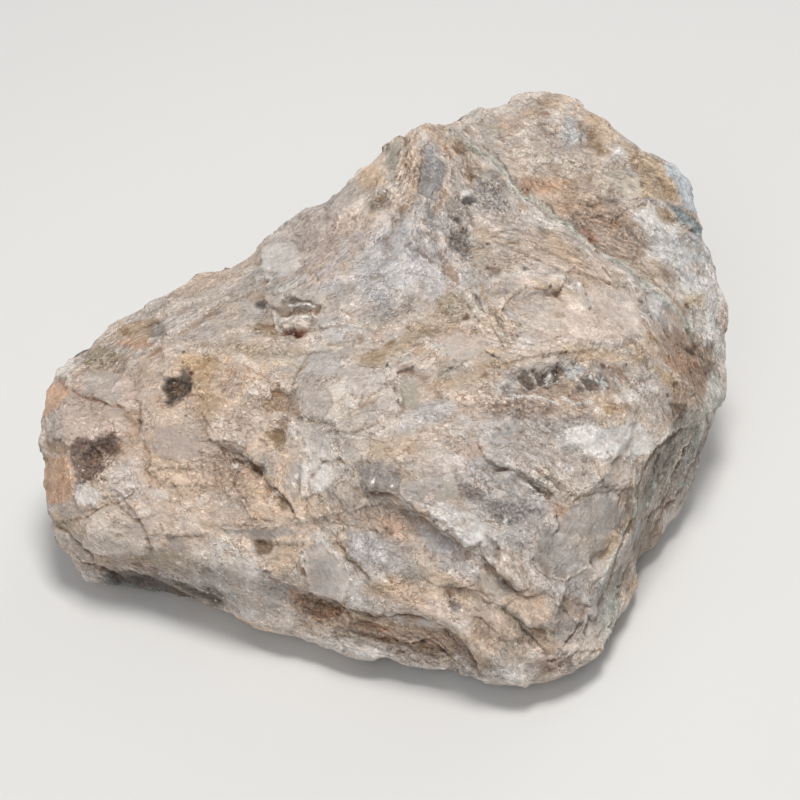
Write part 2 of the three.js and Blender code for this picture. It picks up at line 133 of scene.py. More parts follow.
# Soft patches: the middle, the half sizes along and across in pixels, the slant in degrees clockwise, the
# colour and its strength.
PATCHES = [
    # the broad warm and milky parts
    (110, 450, 80, 120, 0, "cream warm", 0.4), (215, 450, 90, 110, 0, "cream warm", 0.4),
    (450, 440, 120, 80, 0, "white blue", 0.25), (500, 525, 120, 60, 30, "white blue", 0.25),
    # the left end
    (95, 420, 50, 62, 0, "pink", 0.5), (125, 480, 20, 26, -20, "white blue", 0.45),
    (115, 530, 40, 20, 0, "cream", 0.4), (170, 560, 50, 10, 12, "olive", 0.5),
    # Of the next two patches, the second is painted shade under the overhang of the left end.
    (150, 566, 60, 8, 8, "brown soft", 0.5), (160, 588, 76, 13, 12, "under", 0.9),
    # The first of the next two patches is painted bounced light, blue-green, along the lower edge of the
    # overhang.
    (120, 589, 40, 5, 5, "blue green", 0.45), (95, 577, 16, 7, 10, "white", 0.4),
    (150, 410, 20, 40, 0, "pink", 0.3), (70, 525, 20, 10, 25, "ochre", 0.5),
    # the left middle
    (195, 365, 24, 13, 0, "ochre pale", 0.7), (200, 364, 14, 7, 0, "yellow", 0.35),
    (205, 400, 16, 30, -10, "ochre", 0.5), (190, 480, 44, 16, 0, "cream warm", 0.6),
    (230, 470, 22, 32, -30, "brown soft", 0.6), (262, 352, 50, 9, 4, "olive", 0.55),
    (232, 310, 14, 7, 0, "ochre", 0.5), (258, 297, 12, 5, 0, "ochre", 0.5),
    (200, 310, 60, 22, -20, "cream", 0.6), (300, 510, 40, 8, 0, "cream warm", 0.5),
    (230, 570, 50, 18, 10, "lens", 0.4), (280, 562, 18, 18, 0, "ochre pale", 0.5),
    (225, 500, 30, 8, 20, "lens", 0.4), (340, 438, 36, 14, 10, "lens", 0.4),
    # the upper left and the peak
    (330, 240, 52, 30, -30, "pink", 0.6), (350, 190, 30, 14, -35, "lens", 0.4),
    (373, 178, 18, 14, -20, "ochre pale", 0.75), (378, 203, 14, 9, 0, "olive dark", 0.45),
    (400, 265, 70, 42, -10, "white blue", 0.75), (400, 248, 20, 9, 0, "grey", 0.35),
    (400, 306, 34, 14, -10, "grey", 0.45), (410, 165, 12, 40, 5, "cream warm", 0.65),
    (480, 200, 28, 34, 0, "lens", 0.5), (430, 215, 22, 22, 0, "white blue", 0.4),
    (520, 235, 50, 12, 25, "lens", 0.5), (570, 262, 60, 14, 22, "cream warm", 0.5),
    (560, 248, 30, 8, 35, "ochre pale", 0.4), (505, 262, 28, 12, 5, "brown soft", 0.55),
    # the middle
    (400, 345, 50, 7, -25, "olive", 0.5), (418, 330, 26, 8, -28, "ochre", 0.4),
    (395, 352, 40, 8, -10, "ochre pale", 0.4), (450, 400, 40, 24, 0, "cream warm", 0.5),
    (460, 380, 30, 8, -10, "ochre", 0.45), (430, 415, 30, 12, -20, "white blue", 0.7),
    (400, 450, 36, 14, 5, "ochre pale", 0.6), (450, 460, 50, 18, 0, "white blue", 0.35),
    (470, 450, 16, 8, 0, "orange", 0.4), (380, 520, 50, 14, 10, "brown soft", 0.5),
    (395, 530, 26, 12, 20, "orange", 0.35), (370, 550, 30, 16, 30, "white blue", 0.5),
    (400, 592, 44, 12, 5, "cream warm", 0.6), (380, 588, 26, 10, 0, "ochre pale", 0.4),
    # the dark band and the plates at the right
    (500, 395, 22, 14, 0, "lens", 0.5), (545, 400, 60, 22, -5, "brown soft", 0.65),
    (560, 425, 50, 10, -5, "grey", 0.45), (600, 355, 50, 8, 8, "ochre pale", 0.65),
    (600, 320, 45, 28, 5, "pink", 0.5), (650, 345, 16, 20, 40, "ochre pale", 0.5),
    (645, 400, 26, 24, 0, "white", 0.4), (668, 378, 20, 6, 45, "yellow", 0.5),
    (605, 440, 50, 18, -3, "white", 0.6), (500, 365, 28, 6, -6, "ochre", 0.5),
    # the lower right
    (540, 470, 50, 14, 30, "cream", 0.5), (505, 505, 40, 20, 20, "grey", 0.45),
    (530, 490, 20, 14, 30, "white", 0.4), (520, 600, 50, 26, 30, "cream low", 0.6),
    (520, 650, 50, 24, 20, "cream low", 0.6), (480, 660, 10, 14, -20, "ochre", 0.5),
    (590, 640, 26, 24, -30, "cream", 0.4), (612, 610, 12, 30, 10, "green pale", 0.6),
    (630, 590, 12, 18, 0, "ochre pale", 0.5), (550, 664, 24, 8, -10, "rust", 0.35),
    # the layered side
    (340, 625, 50, 12, 8, "ochre pale", 0.4), (338, 614, 14, 6, 10, "rust", 0.45),
    (390, 634, 90, 18, 10, "orange", 0.4), (386, 626, 8, 6, 0, "orange", 0.6),
    (360, 648, 60, 10, 10, "white", 0.55), (350, 661, 60, 6, 12, "blue green", 0.4),
    (430, 652, 26, 12, 20, "ochre", 0.5), (420, 630, 40, 8, 10, "brown soft", 0.5),
    (300, 630, 26, 12, 10, "lens", 0.4), (335, 632, 50, 8, 10, "pale warm", 0.6),
    (395, 650, 50, 7, 12, "cream", 0.6), (380, 622, 60, 4, 6, "pale warm", 0.4),
    # the right wall
    # The first two patches below are the right wall's greenish tone with painted shade.
    (655, 470, 14, 60, 25, "wall", 0.6), (680, 450, 16, 50, 28, "wall", 0.5),
    (650, 542, 18, 26, 30, "olive dark", 0.5), (700, 430, 12, 30, 20, "green pale", 0.45),
    (712, 385, 10, 34, 0, "green pale", 0.5), (688, 372, 24, 30, 0, "orange", 0.35),
    (708, 340, 18, 50, -8, "white", 0.6),
    # the rear block
    (500, 114, 60, 14, -10, "lens", 0.45), (500, 130, 26, 6, -5, "ochre", 0.45),
    (528, 114, 14, 6, -20, "ochre", 0.5), (548, 102, 8, 4, 0, "ochre dark", 0.5),
    (512, 122, 16, 8, 0, "orange", 0.4), (555, 140, 50, 22, 20, "lens", 0.5),
    (545, 184, 36, 10, 5, "orange", 0.35), (580, 170, 40, 12, 15, "pink", 0.4),
    (600, 130, 26, 16, 30, "ochre pale", 0.5), (655, 225, 34, 22, 40, "white", 0.8),
    (676, 268, 44, 18, 52, "white", 0.9), (708, 292, 14, 40, -8, "white", 0.85),
    (690, 250, 24, 24, 50, "blue white", 0.6), (640, 272, 24, 8, 38, "ochre pale", 0.5),
    (660, 270, 16, 10, 45, "ochre pale", 0.5), (600, 228, 46, 24, 30, "brown soft", 0.4),
    (560, 165, 44, 12, 15, "pale", 0.5), (615, 180, 20, 16, 20, "pale warm", 0.4),
]

# Facets: the corners, the colour and its strength, how many millimetres the facet rises in 10 pixels to the
# right and in 10 pixels down, its lift in millimetres, and how smooth it is.
FACETS = [
    # the left end
    ([(82, 372), (100, 369), (118, 377), (124, 392), (114, 401), (97, 399), (85, 389)],
     "grey", 0.44, 0.12, -0.24, -0.1, 0.52),
    ([(120, 374), (133, 380), (139, 397), (136, 404), (122, 398), (117, 384)],
     "pink", 0.48, -0.18, 0.12, 0, 0.52),
    ([(52, 381), (66, 389), (71, 393), (58, 405), (38, 420), (38, 400)], "orange", 0.72, 0, 0.18, 0, 0.52),
    ([(48, 456), (64, 454), (72, 470), (75, 498), (60, 504), (40, 500), (36, 480), (40, 464)],
     "orange", 0.75, 0.12, 0, 0.1, 0.2),
    ([(46, 443), (64, 442), (66, 452), (58, 456), (46, 452)], "ochre dark", 0.6, 0, 0, -0.2, 0.6),
    ([(55, 360), (72, 356), (78, 368), (70, 380), (58, 376)], "white", 0.4, 0, 0.24, 0.2, 0.4),
    ([(71, 445), (78, 438), (85, 439), (93, 447), (98, 453), (104, 462), (100, 474), (90, 479), (82, 490),
      (76, 488), (73, 470), (70, 456)], "inclusion", 0.97, 0, 0.12, -0.2, 0),
    ([(97, 440), (106, 436), (115, 431), (120, 441), (122, 452), (116, 461), (106, 459), (98, 450)],
     "inclusion", 0.93, -0.12, 0.12, -0.05, 0),
    ([(87, 522), (100, 509), (124, 506), (136, 516), (146, 536), (149, 554), (120, 553), (97, 551),
      (84, 545)], "cream", 0.6, -0.18, 0.36, 0.35, 0.3),
    ([(76, 482), (92, 484), (103, 498), (98, 508), (80, 503), (74, 494)], "white", 0.6, 0, 0.18, 0.15, 0),
    ([(155, 430), (170, 428), (198, 445), (199, 453), (189, 460), (160, 460), (151, 450)],
     "taupe", 0.72, 0.06, -0.18, -0.1, 0.68),
    ([(150, 488), (170, 489), (168, 498), (150, 497)], "white", 0.4, 0, 0, 0.1, 0.52),
    ([(165, 381), (178, 375), (184, 372), (193, 377), (194, 387), (188, 393), (178, 397), (173, 405),
      (168, 405), (166, 396), (163, 390)], "black", 0.85, 0, 0, -0.4, 0),
    ([(172, 383), (181, 384), (180, 391), (172, 390)], "brown", 0.7, 0, 0, 0.15, 0),
    ([(170, 532), (182, 534), (187, 545), (180, 552), (165, 551)], "grey dark", 0.5, 0.24, -0.18, 0.2, 0.4),
    # the upper left corner
    ([(119, 324), (150, 321), (158, 320), (152, 336), (145, 338), (117, 337)],
     "ochre", 0.7, 0, -0.18, -0.15, 0),
    ([(148, 326), (162, 321), (169, 334), (160, 339), (147, 338)], "grey deep", 0.55, 0, 0, -0.2, 0),
    ([(117, 338), (146, 338), (153, 346), (141, 351), (114, 346)], "orange", 0.7, 0, 0.18, 0.05, 0.2),
    ([(85, 351), (112, 345), (121, 360), (111, 371), (84, 370)], "olive", 0.65, 0, 0, -0.1, 0.1),
    ([(262, 246), (290, 240), (303, 252), (300, 268), (280, 276), (262, 268)],
     "white", 0.4, -0.12, 0.18, 0.1, 0.6),
    # the cavity and the brown patch under it
    ([(270, 307), (290, 298), (310, 299), (321, 306), (318, 316), (281, 317)],
     "olive dark", 0.6, 0, -0.24, -0.83, 0.6),
    ([(255, 301), (260, 299), (266, 300), (263, 306), (256, 306)], "grey deep", 0.95, 0, 0, -0.45, 0.3),
    ([(250, 326), (262, 321), (276, 322), (277, 336), (262, 337), (252, 334)], "ochre", 0.7, 0, 0, -0.25, 0),
    ([(281, 328), (296, 328), (298, 333), (283, 334)], "rust dark", 0.97, 0, 0, -1.12, 0),
    ([(299, 329), (306, 329), (307, 333), (300, 333)], "rust", 0.8, 0, 0, -0.45, 0),
    ([(343, 323), (362, 323), (364, 330), (345, 330)], "glint", 0.6, 0, 0.18, 0.15, 0),
    ([(320, 318), (345, 316), (344, 338), (322, 339)], "white blue", 0.5, 0, 0.12, 0.05, 0.4),
    ([(355, 360), (366, 357), (380, 346), (394, 341), (394, 352), (372, 364)],
     "ochre", 0.4, 0, 0.12, -0.15, 0),
    # the pale lens
    ([(300, 357), (313, 347), (330, 348), (341, 358), (343, 375), (318, 379), (299, 373)],
     "blue grey", 0.5, -0.12, 0.18, 0.1, 0.5),
    ([(297, 374), (318, 379), (331, 396), (322, 420), (303, 413), (296, 392)],
     "lens", 0.6, -0.1, 0.05, 0.15, 0.4),
    ([(343, 366), (362, 365), (376, 369), (389, 378), (366, 397), (347, 394)],
     "lens", 0.6, 0.1, 0.12, 0.15, 0.5),
    ([(320, 380), (345, 377), (350, 396), (360, 400), (346, 418), (326, 420), (332, 396)],
     "pale", 0.35, 0.05, 0.2, 0.1, 0.45),
    # the left middle
    ([(278, 387), (291, 398), (285, 411), (267, 412), (261, 402)], "ochre dark", 0.6, 0, 0, -0.25, 0),
    ([(280, 399), (298, 399), (301, 415), (288, 416), (279, 408)], "brown soft", 0.7, 0.12, -0.12, -0.1, 0.5),
    ([(267, 434), (283, 432), (284, 441), (279, 453), (273, 444)], "olive", 0.8, 0, 0.3, -0.5, 0.2),
    ([(270, 449), (275, 446), (281, 454), (280, 478), (272, 462)], "pink", 0.6, 0, 0.24, 0.05, 0.6),
    ([(240, 465), (256, 474), (268, 495), (275, 512), (262, 506), (249, 490)],
     "cream warm", 0.8, -0.18, 0.18, 0.2, 0.4),
    ([(280, 492), (286, 500), (291, 511), (281, 512)], "olive", 0.8, 0, 0, -0.4, 0.5),
    ([(248, 462), (262, 466), (266, 478), (252, 474)], "brown", 0.7, 0, 0, -0.3, 0),
    ([(256, 455), (272, 458), (277, 478), (262, 474)], "grey", 0.6, 0, 0.12, -0.1, 0.3),
    ([(283, 480), (291, 463), (302, 460), (310, 470), (302, 490), (295, 503), (287, 493)],
     "grey", 0.6, 0.18, -0.18, 0.05, 0.64),
    ([(303, 460), (322, 458), (338, 475), (326, 490), (302, 499)], "white", 0.55, -0.18, 0.24, 0.2, 0.5),
    ([(232, 463), (240, 463), (238, 468), (233, 469)], "glint", 0.68, 0, 0, 0.2, 0.75),
    ([(218, 380), (230, 382), (240, 394), (232, 399), (220, 396)], "brown soft", 0.55, 0, 0, -0.2, 0),
    ([(226, 385), (238, 386), (236, 393), (228, 394)], "pink", 0.5, 0, 0, 0.2, 0.3),
    # the lower left
    ([(254, 541), (272, 541), (277, 546), (268, 554), (260, 557), (254, 548)],
     "olive", 0.75, 0, 0.3, -0.5, 0.2),
    ([(221, 530), (240, 531), (280, 527), (301, 530), (296, 537), (262, 537), (235, 535)],
     "grey", 0.65, 0, -0.3, -0.15, 0.6),
    ([(308, 548), (322, 546), (346, 565), (351, 586), (342, 601), (325, 601), (311, 590), (304, 570)],
     "lens", 0.68, -0.12, 0.18, 0.3, 0.71),
    ([(316, 560), (334, 560), (340, 590), (322, 592)], "blue grey", 0.32, 0, 0, 0, 0.68),
    ([(289, 585), (300, 591), (311, 601), (297, 604), (286, 598)], "orange", 0.5, 0, -0.3, 0.2, 0.3),
    ([(300, 603), (315, 600), (331, 603), (341, 610), (334, 616), (314, 615)], "orange", 0.4, 0, 0, 0.3, 0),
    # the ledges of the middle
    ([(356, 466), (372, 463), (394, 461), (401, 478), (400, 494), (369, 494), (362, 482)],
     "grey dark", 0.8, 0.06, -0.3, 0.15, 0.5),
    ([(394, 460), (403, 462), (413, 476), (413, 485), (401, 485)], "olive", 0.5, 0.18, 0, 0, 0.6),
    ([(401, 485), (415, 479), (440, 478), (443, 483), (430, 498), (418, 500), (405, 496)],
     "grey", 0.6, 0.12, -0.24, 0.05, 0.6),
    ([(444, 483), (460, 480), (458, 498), (440, 500), (432, 498)], "grey green", 0.52, 0.06, -0.24, 0, 0.64),
    ([(460, 480), (468, 480), (481, 490), (479, 502), (461, 500)], "grey deep", 0.55, 0, -0.18, -0.15, 0),
    ([(424, 503), (445, 502), (462, 512), (472, 512), (489, 530), (477, 548), (466, 546), (450, 528),
      (430, 514)], "white", 0.7, -0.18, 0.3, 0.35, 0.5),
    ([(465, 516), (475, 512), (481, 522), (468, 536)], "lens", 0.48, 0.18, -0.18, 0.1, 0.68),
    ([(415, 528), (428, 522), (446, 534), (462, 550), (450, 556), (428, 548)],
     "white blue", 0.55, -0.12, 0.18, 0.1, 0.4),
    ([(480, 501), (520, 500), (541, 505), (548, 516), (530, 520), (505, 523), (489, 515)],
     "grey dark", 0.55, 0, -0.18, -0.15, 0),
    ([(480, 570), (496, 578), (516, 592), (509, 603), (488, 600), (477, 585)],
     "grey", 0.52, 0.24, -0.24, -0.15, 0.6),
    ([(502, 560), (520, 566), (532, 560), (540, 575), (520, 590), (508, 578)],
     "cream", 0.5, -0.12, 0.24, 0.25, 0.3),
    ([(505, 540), (520, 548), (534, 545), (534, 556), (520, 565), (504, 562)],
     "cream", 0.6, -0.18, 0.24, 0.25, 0.2),
    ([(440, 563), (460, 556), (480, 568), (478, 582), (460, 584), (446, 574)],
     "white blue", 0.5, -0.12, 0.3, 0.2, 0.2),
    ([(400, 570), (420, 566), (436, 574), (430, 584), (405, 582)], "grey green", 0.55, 0, -0.18, -0.1, 0.3),
    ([(450, 601), (458, 599), (462, 606), (458, 613), (451, 611)], "grey deep", 0.6, 0, 0, -0.25, 0.2),
    ([(460, 588), (478, 583), (490, 596), (476, 602), (462, 600)], "brown soft", 0.5, 0.12, -0.18, -0.1, 0.4),
    # the big grey facet and the faces around it
    ([(566, 510), (580, 500), (605, 496), (625, 508), (628, 516), (611, 534), (584, 538), (556, 531)],
     "grey", 0.72, 0.09, -0.14, -0.05, 0.55),
    ([(540, 529), (556, 531), (584, 538), (611, 534), (598, 556), (586, 570), (570, 578), (548, 574),
      (532, 560)], "grey", 0.6, 0.04, -0.2, -0.1, 0.45),
    ([(596, 460), (620, 458), (639, 470), (632, 480), (612, 486), (601, 478)],
     "cream", 0.48, -0.18, 0.18, 0.15, 0.52),
    ([(555, 502), (560, 502), (569, 512), (560, 519), (550, 514)], "orange", 0.5, 0, 0, -0.2, 0),
    ([(560, 430), (585, 424), (606, 428), (640, 424), (655, 440), (648, 455), (600, 458), (575, 448)],
     "white", 0.64, -0.06, 0.18, 0.15, 0.6),
    ([(592, 562), (604, 541), (626, 520), (620, 548), (600, 560)], "ochre pale", 0.6, 0.12, -0.06, -0.05, 0),
    # the lower right
    ([(480, 612), (500, 607), (529, 632), (516, 641), (498, 638), (483, 620)],
     "cream low", 0.7, -0.12, 0.18, 0.15, 0.5),
    ([(530, 628), (551, 630), (559, 643), (552, 656), (540, 648), (531, 637)],
     "ochre pale", 0.6, 0.12, -0.18, -0.25, 0.5),
    ([(500, 600), (520, 590), (541, 594), (556, 616), (536, 626), (521, 616)],
     "cream warm", 0.6, -0.12, 0.18, 0.2, 0.5),
    ([(560, 590), (580, 600), (592, 606), (582, 618), (565, 612)], "brown soft", 0.6, 0, -0.18, -0.35, 0.3),
    ([(560, 645), (600, 634), (614, 622), (592, 655), (574, 666)], "cream", 0.6, -0.3, 0.18, 0.1, 0.4),
    ([(490, 668), (520, 664), (541, 666), (530, 681), (505, 682)], "white", 0.4, 0, 0.24, 0.1, 0.3),
    ([(446, 620), (466, 640), (477, 664), (484, 678), (470, 672), (455, 650), (440, 632)],
     "brown", 0.65, 0.18, -0.24, -0.25, 0),
    # the peak
    ([(428, 142), (440, 160), (447, 168), (441, 188), (428, 201), (417, 190), (419, 177), (424, 160)],
     "blue dark", 0.85, 0.12, -0.12, -0.2, 0.45),
    ([(431, 138), (440, 158), (435, 162), (427, 146)], "white blue", 0.3, -0.12, 0.12, 0, 0.3),
    ([(386, 142), (402, 132), (402, 160), (396, 181), (388, 180)], "grey green", 0.7, 0.18, -0.06, -0.1, 0.4),
    ([(449, 164), (455, 160), (448, 188), (443, 188)], "cream", 0.7, 0, 0, 0.2, 0.5),
    ([(428, 128), (441, 136), (461, 152), (456, 160), (441, 146), (430, 138)],
     "cream warm", 0.7, 0, 0.12, 0.15, 0.4),
    ([(454, 146), (460, 144), (466, 148), (463, 153), (456, 153)], "brown", 0.95, 0, 0, -0.3, 0),
    ([(440, 138), (462, 138), (466, 145), (450, 145)], "ochre", 0.6, 0, 0, 0, 0),
    ([(466, 169), (480, 167), (484, 173), (473, 180), (475, 187), (468, 186)],
     "ochre dark", 0.8, 0, 0, -0.1, 0.2),
    ([(461, 190), (470, 191), (470, 199), (461, 197)], "white", 0.7, 0, 0, 0.1, 0.5),
    ([(444, 197), (452, 197), (459, 204), (455, 213), (446, 207)], "grey dark", 0.6, 0.12, -0.12, -0.1, 0.4),
    ([(465, 200), (471, 197), (476, 201), (470, 205)], "black", 0.9, 0, 0, -0.35, 0),
    ([(450, 216), (455, 217), (457, 222), (452, 220)], "black", 0.8, 0, 0, -0.2, 0),
    ([(475, 170), (500, 168), (506, 190), (504, 212), (480, 214), (472, 192)], "grey", 0.55, 0, 0, 0, 0),
    ([(448, 236), (460, 221), (472, 240), (471, 262), (461, 262), (455, 250)],
     "grey deep", 0.6, 0, 0, -0.1, 0),
    ([(470, 236), (490, 240), (490, 262), (474, 268)], "olive", 0.5, 0, 0, 0, 0),
    ([(519, 203), (531, 205), (527, 213), (520, 210)], "ochre", 0.7, 0, 0, 0, 0.5),
    ([(533, 221), (542, 225), (550, 236), (543, 236)], "olive dark", 0.5, 0, 0, -0.15, 0),
    # the plates and the needles right of the middle
    ([(440, 296), (452, 292), (465, 294), (468, 310), (470, 318), (457, 322), (444, 318), (436, 306)],
     "olive", 0.55, 0, -0.18, -0.2, 0.2),
    ([(462, 311), (470, 312), (470, 320), (460, 319)], "brown dark", 0.7, 0, 0, -0.2, 0.2),
    ([(504, 312), (516, 300), (530, 290), (546, 290), (553, 306), (530, 317), (508, 323)],
     "lens", 0.6, -0.04, 0.12, 0.15, 0.45),
    ([(530, 317), (553, 306), (563, 300), (566, 327), (536, 330), (518, 329)],
     "pale", 0.35, 0.08, 0.04, 0.05, 0.4),
    ([(443, 338), (458, 328), (470, 336), (500, 338), (505, 345), (480, 354), (460, 364), (448, 358)],
     "lens", 0.6, 0.06, 0.12, 0.15, 0.68),
    ([(540, 283), (556, 284), (560, 291), (545, 290)], "yellow", 0.5, 0, 0, 0, 0),
    ([(490, 306), (497, 306), (500, 318), (497, 324), (490, 316)], "olive dark", 0.65, 0, 0, -0.35, 0),
    ([(500, 284), (522, 284), (523, 292), (502, 293)], "grey dark", 0.5, 0, 0, -0.05, 0),
    ([(488, 266), (500, 268), (498, 277), (490, 276)], "brown dark", 0.65, 0, 0, -0.2, 0),
    ([(563, 296), (600, 284), (640, 292), (640, 330), (620, 344), (572, 340), (566, 326)],
     "cream", 0.4, -0.06, 0.09, 0.2, 0.52),
    ([(640, 294), (660, 296), (664, 320), (645, 318)], "white blue", 0.6, 0, 0.12, 0, 0.3),
    ([(482, 370), (492, 372), (488, 379), (480, 377)], "brown", 0.75, 0, 0, -0.2, 0),
    ([(436, 362), (460, 358), (470, 370), (448, 382), (436, 378)], "grey green", 0.45, 0, 0, -0.1, 0.2),
    ([(402, 380), (414, 380), (421, 396), (418, 404), (404, 409)],
     "grey green", 0.72, 0.12, -0.12, -0.2, 0.71),
    ([(398, 362), (412, 366), (410, 374), (400, 376)], "brown soft", 0.6, 0, 0, -0.1, 0.3),
    # the dark band
    ([(520, 368), (532, 372), (537, 382), (528, 393), (521, 388)], "black", 0.55, 0, 0, -0.3, 0),
    ([(540, 376), (548, 370), (557, 366), (563, 370), (560, 380), (556, 385), (548, 386), (542, 384)],
     "black", 0.7, 0, 0, -0.3, 0),
    ([(547, 372), (553, 373), (552, 378), (547, 378)], "white", 0.7, 0, 0, 0.2, 0),
    ([(562, 367), (582, 366), (584, 374), (568, 378)], "blue white", 0.72, 0, 0.18, 0.15, 0.52),
    ([(580, 378), (590, 373), (603, 373), (607, 383), (600, 392), (585, 391), (571, 393)],
     "grey deep", 0.65, 0, 0, -0.2, 0.2),
    ([(600, 377), (606, 378), (606, 396), (601, 396)], "white blue", 0.7, 0, 0, 0.1, 0.2),
    ([(503, 383), (512, 384), (511, 393), (504, 392)], "grey deep", 0.55, 0, 0, -0.15, 0),
    ([(508, 372), (515, 372), (516, 396), (511, 396)], "white blue", 0.5, 0, 0, 0.05, 0),
    ([(605, 365), (625, 366), (622, 392), (608, 396)], "brown", 0.55, 0, 0, -0.15, 0),
    ([(633, 381), (642, 379), (638, 388), (632, 386)], "brown", 0.8, 0, 0, -0.2, 0),
    ([(605, 402), (630, 405), (628, 416), (606, 413)], "ochre", 0.7, 0, 0, -0.05, 0),
    ([(478, 404), (505, 406), (506, 420), (480, 418)], "brown", 0.45, 0, 0, -0.1, 0),
    ([(515, 410), (530, 412), (526, 424), (512, 422)], "grey deep", 0.45, 0, 0, -0.1, 0),
    ([(540, 407), (550, 408), (548, 421), (540, 419)], "brown", 0.5, 0, 0, -0.1, 0),
    # the brown recess at the right
    ([(662, 330), (676, 326), (692, 332), (701, 338), (713, 350), (717, 360), (709, 380), (704, 403),
      (690, 396), (680, 379), (667, 360), (660, 345)], "brown soft", 0.8, 0, 0, -0.2, 0),
    ([(668, 336), (690, 334), (706, 346), (700, 354), (675, 352)], "brown soft", 0.5, 0, 0, -0.1, 0),
    ([(662, 355), (690, 356), (700, 366), (680, 376), (668, 366)], "orange", 0.5, 0, 0, 0, 0),
    ([(672, 404), (686, 404), (684, 419), (672, 418)], "brown dark", 0.7, 0, 0, -0.45, 0),
    # the rear block
    ([(587, 127), (594, 128), (602, 145), (611, 153), (597, 154), (588, 144)],
     "ochre dark", 0.6, 0, 0, -0.3, 0.1),
    ([(577, 120), (583, 122), (582, 136), (579, 136)], "brown", 0.8, 0, 0, -0.25, 0),
    ([(582, 127), (587, 127), (586, 140), (582, 138)], "white", 0.7, 0, 0, 0.2, 0.3),
    ([(563, 116), (578, 116), (580, 140), (568, 150), (562, 136)], "blue white", 0.55, 0.12, 0, 0, 0.3),
    ([(621, 138), (645, 152), (665, 162), (673, 180), (677, 197), (660, 201), (640, 196), (638, 175),
      (625, 160)], "ochre", 0.65, 0, 0.06, 0, 0),
    ([(625, 176), (640, 176), (641, 197), (625, 197)], "pale warm", 0.75, 0, 0.12, 0.1, 0.6),
    ([(662, 160), (676, 162), (692, 166), (698, 176), (700, 196), (702, 216), (690, 213), (678, 193),
      (670, 178)], "blue white", 0.9, 0.12, 0, 0.1, 0.5),
    ([(668, 204), (680, 208), (700, 222), (706, 235), (696, 237), (682, 222), (670, 212)],
     "blue green", 0.85, 0, 0, -0.05, 0.2),
    ([(640, 205), (662, 215), (680, 228), (670, 240), (648, 236), (638, 222)],
     "white", 0.5, 0, 0.12, 0.1, 0.2),
    ([(640, 236), (655, 235), (662, 248), (645, 250)], "grey", 0.55, 0, 0, -0.05, 0.3),
    ([(562, 200), (600, 197), (622, 204), (640, 222), (651, 245), (640, 263), (600, 255), (575, 225)],
     "brown soft", 0.5, 0, 0, -0.1, 0),
    ([(583, 229), (592, 236), (602, 252), (596, 256), (586, 242)], "rust", 0.45, 0, 0, -0.1, 0),
    ([(655, 204), (668, 212), (674, 221), (661, 223)], "ochre", 0.7, 0, 0, 0, 0.2),
    ([(682, 298), (700, 293), (708, 300), (701, 311), (685, 307)], "yellow", 0.5, 0, 0, 0, 0),
    ([(480, 128), (500, 128), (502, 140), (486, 143)], "grey", 0.5, 0, -0.12, -0.05, 0.4),
    ([(515, 176), (540, 177), (556, 183), (548, 192), (520, 190)], "orange", 0.5, 0, 0, 0, 0),
    ([(540, 112), (547, 112), (547, 119), (541, 119)], "rust", 0.6, 0, 0, -0.05, 0),
]

